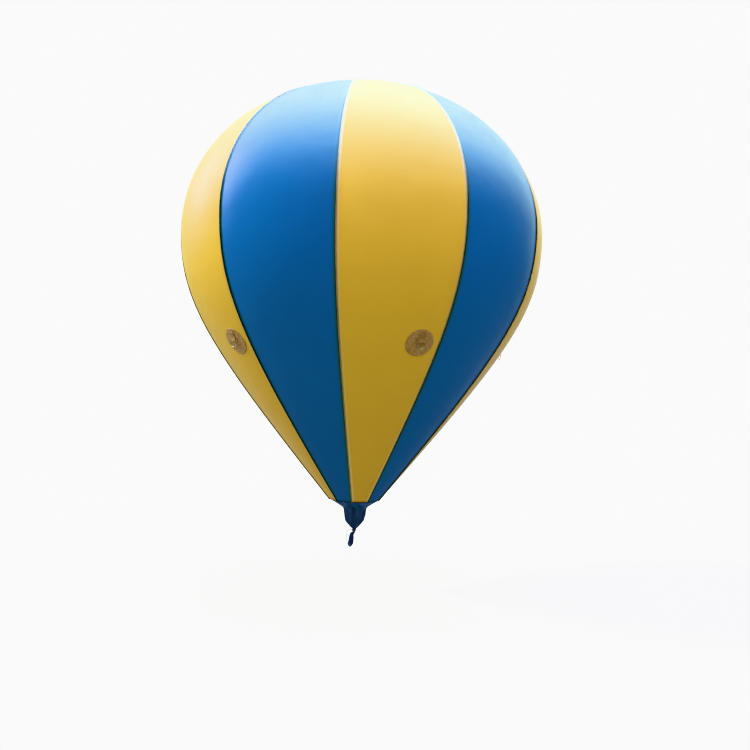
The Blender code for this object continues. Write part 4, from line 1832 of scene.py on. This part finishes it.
def make_stitches(number, frame, tree, materials):
    path = section_curve("sewn line", [frame @ p for p in stitch_lines()], closed=False)
    made = run_tree(
        f"tab_stitches_{number}",
        tree,
        {
            "Line": path,
            "Pitch": STITCH_PITCH,
            "Length": STITCH_PITCH * 0.78,
            "Thread": 0.0011,
            "Material": materials["thread"],
        },
    )
    bpy.data.objects.remove(path)
    finish_piece(made, "envelope", "webbing")


def ring_line():
    """The wire's centre line about the bar's centre: (across, down) points, closed."""
    inner = RING_HALF_WIDTH - RING_CORNER
    line = [(x / 8 * inner, 0.0) for x in range(-8, 9)]
    for k in range(1, 7):
        angle = math.radians(90 - 90 * k / 6)
        line.append((inner + RING_CORNER * math.cos(angle), RING_CORNER - RING_CORNER * math.sin(angle)))
    for k in range(0, 41):
        angle = math.pi * k / 40
        line.append((RING_HALF_WIDTH * math.cos(angle), RING_ARM + RING_HALF_WIDTH * math.sin(angle)))
    for k in range(0, 6):
        angle = math.radians(180 - 90 * k / 6)
        line.append((-inner + RING_CORNER * math.cos(angle), RING_CORNER - RING_CORNER * math.sin(angle)))
    return line


def make_ring(number, origin, across, materials):
    """A ring of round wire, butt-welded in the middle of its bar."""
    upright = Vector((0.0, 0.0, 1.0))
    frame = placed(origin, across, upright.cross(across), upright)
    line = [Vector((x, 0.0, -down)) for x, down in ring_line()]
    rows = []
    count = len(line)
    for i in range(count + 1):
        point = line[i % count]
        along = (line[(i + 1) % count] - line[(i - 1) % count]).normalized()
        side = Vector((along.z, 0.0, -along.x))
        weld = 0.0006 * math.exp(-((point.x / 0.003) ** 2)) if abs(point.z) < 1e-6 else 0.0
        radius = WIRE_RADIUS + weld
        rows.append(
            [
                frame
                @ (
                    point
                    + side * (radius * math.cos(math.tau * j / 16))
                    + Vector((0.0, radius * math.sin(math.tau * j / 16), 0.0))
                )
                for j in range(16)
            ]
        )
    made = grid_mesh(f"ring_wire_{number}", rows, materials["steel"], wraps=True)
    face_outward(made)
    finish_piece(made, f"ring_{number}", "steel", f"d_ring_{number}")


def make_tether_points(outline, materials):
    stitches = stitch_tree()
    arc = outline.arc_where(lambda p: p.y > TETHER_HEIGHT)
    stand_off = BAR_HOLE_RADIUS + TAB_STRAP + FIT_GAP
    for number in range(1, TETHER_POINTS + 1):
        azimuth = 4 * GORE_HALF * (number - 1)
        make_patch(number, outline, azimuth, arc, materials)
        centre, across, up, outward = tether_frame(outline, azimuth, arc)
        origin = centre + up * BAR_RISE + outward * stand_off
        frame = placed(origin, across, up, outward)
        make_tab(number, frame, materials)
        make_stitches(number, frame, stitches, materials)
        make_ring(number, origin, across, materials)


# ---- Camera, light and floor


def make_camera():
    camera = bpy.data.cameras.new("photo angle")
    camera.lens = CAMERA_LENS
    camera.sensor_width = 36.0
    camera.clip_end = 300.0
    made = add_object("photo angle", camera)
    made.matrix_world = (
        Matrix.Translation(CAMERA_PLACE)
        @ Matrix.Rotation(CAMERA_HEADING, 4, "Z")
        @ Matrix.Rotation(math.pi / 2 + CAMERA_PITCH, 4, "X")
        @ Matrix.Rotation(CAMERA_ROLL, 4, "Z")
    )
    bpy.context.scene.camera = made


def make_floor(materials):
    """A wide pale floor, far enough out that its edge melts into the white backdrop."""
    rings = [0.0, 1.0, 2.0, 3.5, 6.0, 10.0, 20.0, 60.0, 200.0]
    rows = [[around(r, math.tau * j / 96, FLOOR_HEIGHT) for j in range(96)] for r in rings]
    floor = grid_mesh("floor", rows, materials["floor"], wraps=True)
    face_outward(floor, closes=False)
    if floor.data.polygons[0].normal.z < 0:
        floor.data.flip_normals()
    floor.visible_diffuse = False
    floor.visible_glossy = False
    floor.visible_shadow = False


def world_levels(tree, height, levels):
    """A ramp over the sine of the elevation, from (sine, colour) pairs."""
    share = add(tree, "ShaderNodeMapRange", {"Value": height, "From Min": -1.0, "From Max": 1.0})
    tones = add(tree, "ShaderNodeValToRGB", {"Fac": share.outputs[0]})
    elements = tones.color_ramp.elements
    elements[0].position, elements[1].position = 0.0, 1.0
    for element, (_, colour) in zip(elements, (levels[0], levels[-1])):
        element.color = (*colour, 1.0)
    for sine, colour in levels[1:-1]:
        elements.new((sine + 1.0) / 2.0).color = (*colour, 1.0)
    return tones.outputs[0]


def bright_patch(tree, place, direction, focus, strength, colour):
    """A patch of light round a direction, with a soft edge. A larger focus makes it smaller."""
    facing = add(
        tree, "ShaderNodeVectorMath", {0: place, 1: direction}, operation="DOT_PRODUCT"
    )
    fall = add(
        tree,
        "ShaderNodeMath",
        {0: facing.outputs["Value"], 1: focus, 2: -focus},
        operation="MULTIPLY_ADD",
    )
    fade = add(tree, "ShaderNodeMath", {0: fall.outputs[0]}, operation="EXPONENT")
    level = add(tree, "ShaderNodeMath", {0: fade.outputs[0], 1: strength}, operation="MULTIPLY")
    return add(tree, "ShaderNodeBackground", {"Color": colour, "Strength": level.outputs[0]})


def make_world():
    """A white backdrop, soft light that grows towards the zenith, and bright patches for the gloss."""
    scene = bpy.context.scene
    scene.view_settings.view_transform = "Khronos PBR Neutral"
    world = bpy.data.worlds.new("soft studio")
    scene.world = world
    world.use_nodes = True
    world.cycles.sampling_method = "NONE"
    tree = world.node_tree
    tree.nodes.clear()
    place = add(tree, "ShaderNodeTexCoord").outputs["Generated"]
    height = add(tree, "ShaderNodeSeparateXYZ", {0: place}).outputs["Z"]
    soft = add(
        tree,
        "ShaderNodeBackground",
        {"Color": world_levels(tree, height, SOFT_LEVELS), "Strength": SOFT_STRENGTH},
    )
    board = bright_patch(
        tree, place, BOARD_DIRECTION, BOARD_FOCUS, BOARD_STRENGTH, BOARD_COLOUR
    )
    room = add(
        tree,
        "ShaderNodeBackground",
        {"Color": world_levels(tree, height, ROOM_LEVELS), "Strength": ROOM_STRENGTH},
    )
    softbox = bright_patch(
        tree, place, SOFTBOX_DIRECTION, SOFTBOX_FOCUS, SOFTBOX_STRENGTH, SOFTBOX_COLOUR
    )
    window = bright_patch(
        tree, place, WINDOW_DIRECTION, WINDOW_FOCUS, WINDOW_STRENGTH, WINDOW_COLOUR
    )
    doorway = bright_patch(
        tree, place, DOORWAY_DIRECTION, DOORWAY_FOCUS, DOORWAY_STRENGTH, DOORWAY_COLOUR
    )
    matt = add(tree, "ShaderNodeAddShader", {0: soft.outputs[0], 1: board.outputs[0]})
    gloss = room
    for light in (softbox, window, doorway):
        gloss = add(tree, "ShaderNodeAddShader", {0: gloss.outputs[0], 1: light.outputs[0]})
    backdrop = add(
        tree,
        "ShaderNodeBackground",
        {"Color": (1.0, 1.0, 1.0, 1.0), "Strength": BACKDROP_STRENGTH},
    )
    ray = add(tree, "ShaderNodeLightPath")
    lit = add(
        tree,
        "ShaderNodeMixShader",
        {0: ray.outputs["Is Glossy Ray"], 1: matt.outputs[0], 2: gloss.outputs[0]},
    )
    seen = add(
        tree,
        "ShaderNodeMixShader",
        {0: ray.outputs["Is Camera Ray"], 1: lit.outputs[0], 2: backdrop.outputs[0]},
    )
    add(tree, "ShaderNodeOutputWorld", {"Surface": seen.outputs[0]})


def make_key_light():
    """A soft key light from the left, high up."""
    lamp = bpy.data.lights.new("key light", "SUN")
    lamp.energy = KEY_STRENGTH
    lamp.color = KEY_COLOUR
    lamp.angle = KEY_SPREAD
    made = add_object("key light", lamp)
    towards = around(math.cos(KEY_ELEVATION), KEY_AZIMUTH, math.sin(KEY_ELEVATION))
    made.rotation_euler = towards.to_track_quat("Z", "Y").to_euler()
    made.visible_glossy = False


def main():
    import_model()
    make_camera()
    materials = make_materials()
    rope = rope_tree()
    make_cord_end(rope, materials)
    outline = Outline()
    make_envelope(outline, materials)
    make_crown_patch(outline, materials)
    make_collar_and_neck(materials)
    make_tie(rope, materials)
    make_tail(materials)
    make_tether_points(outline, materials)
    make_floor(materials)
    make_world()
    make_key_light()


main()
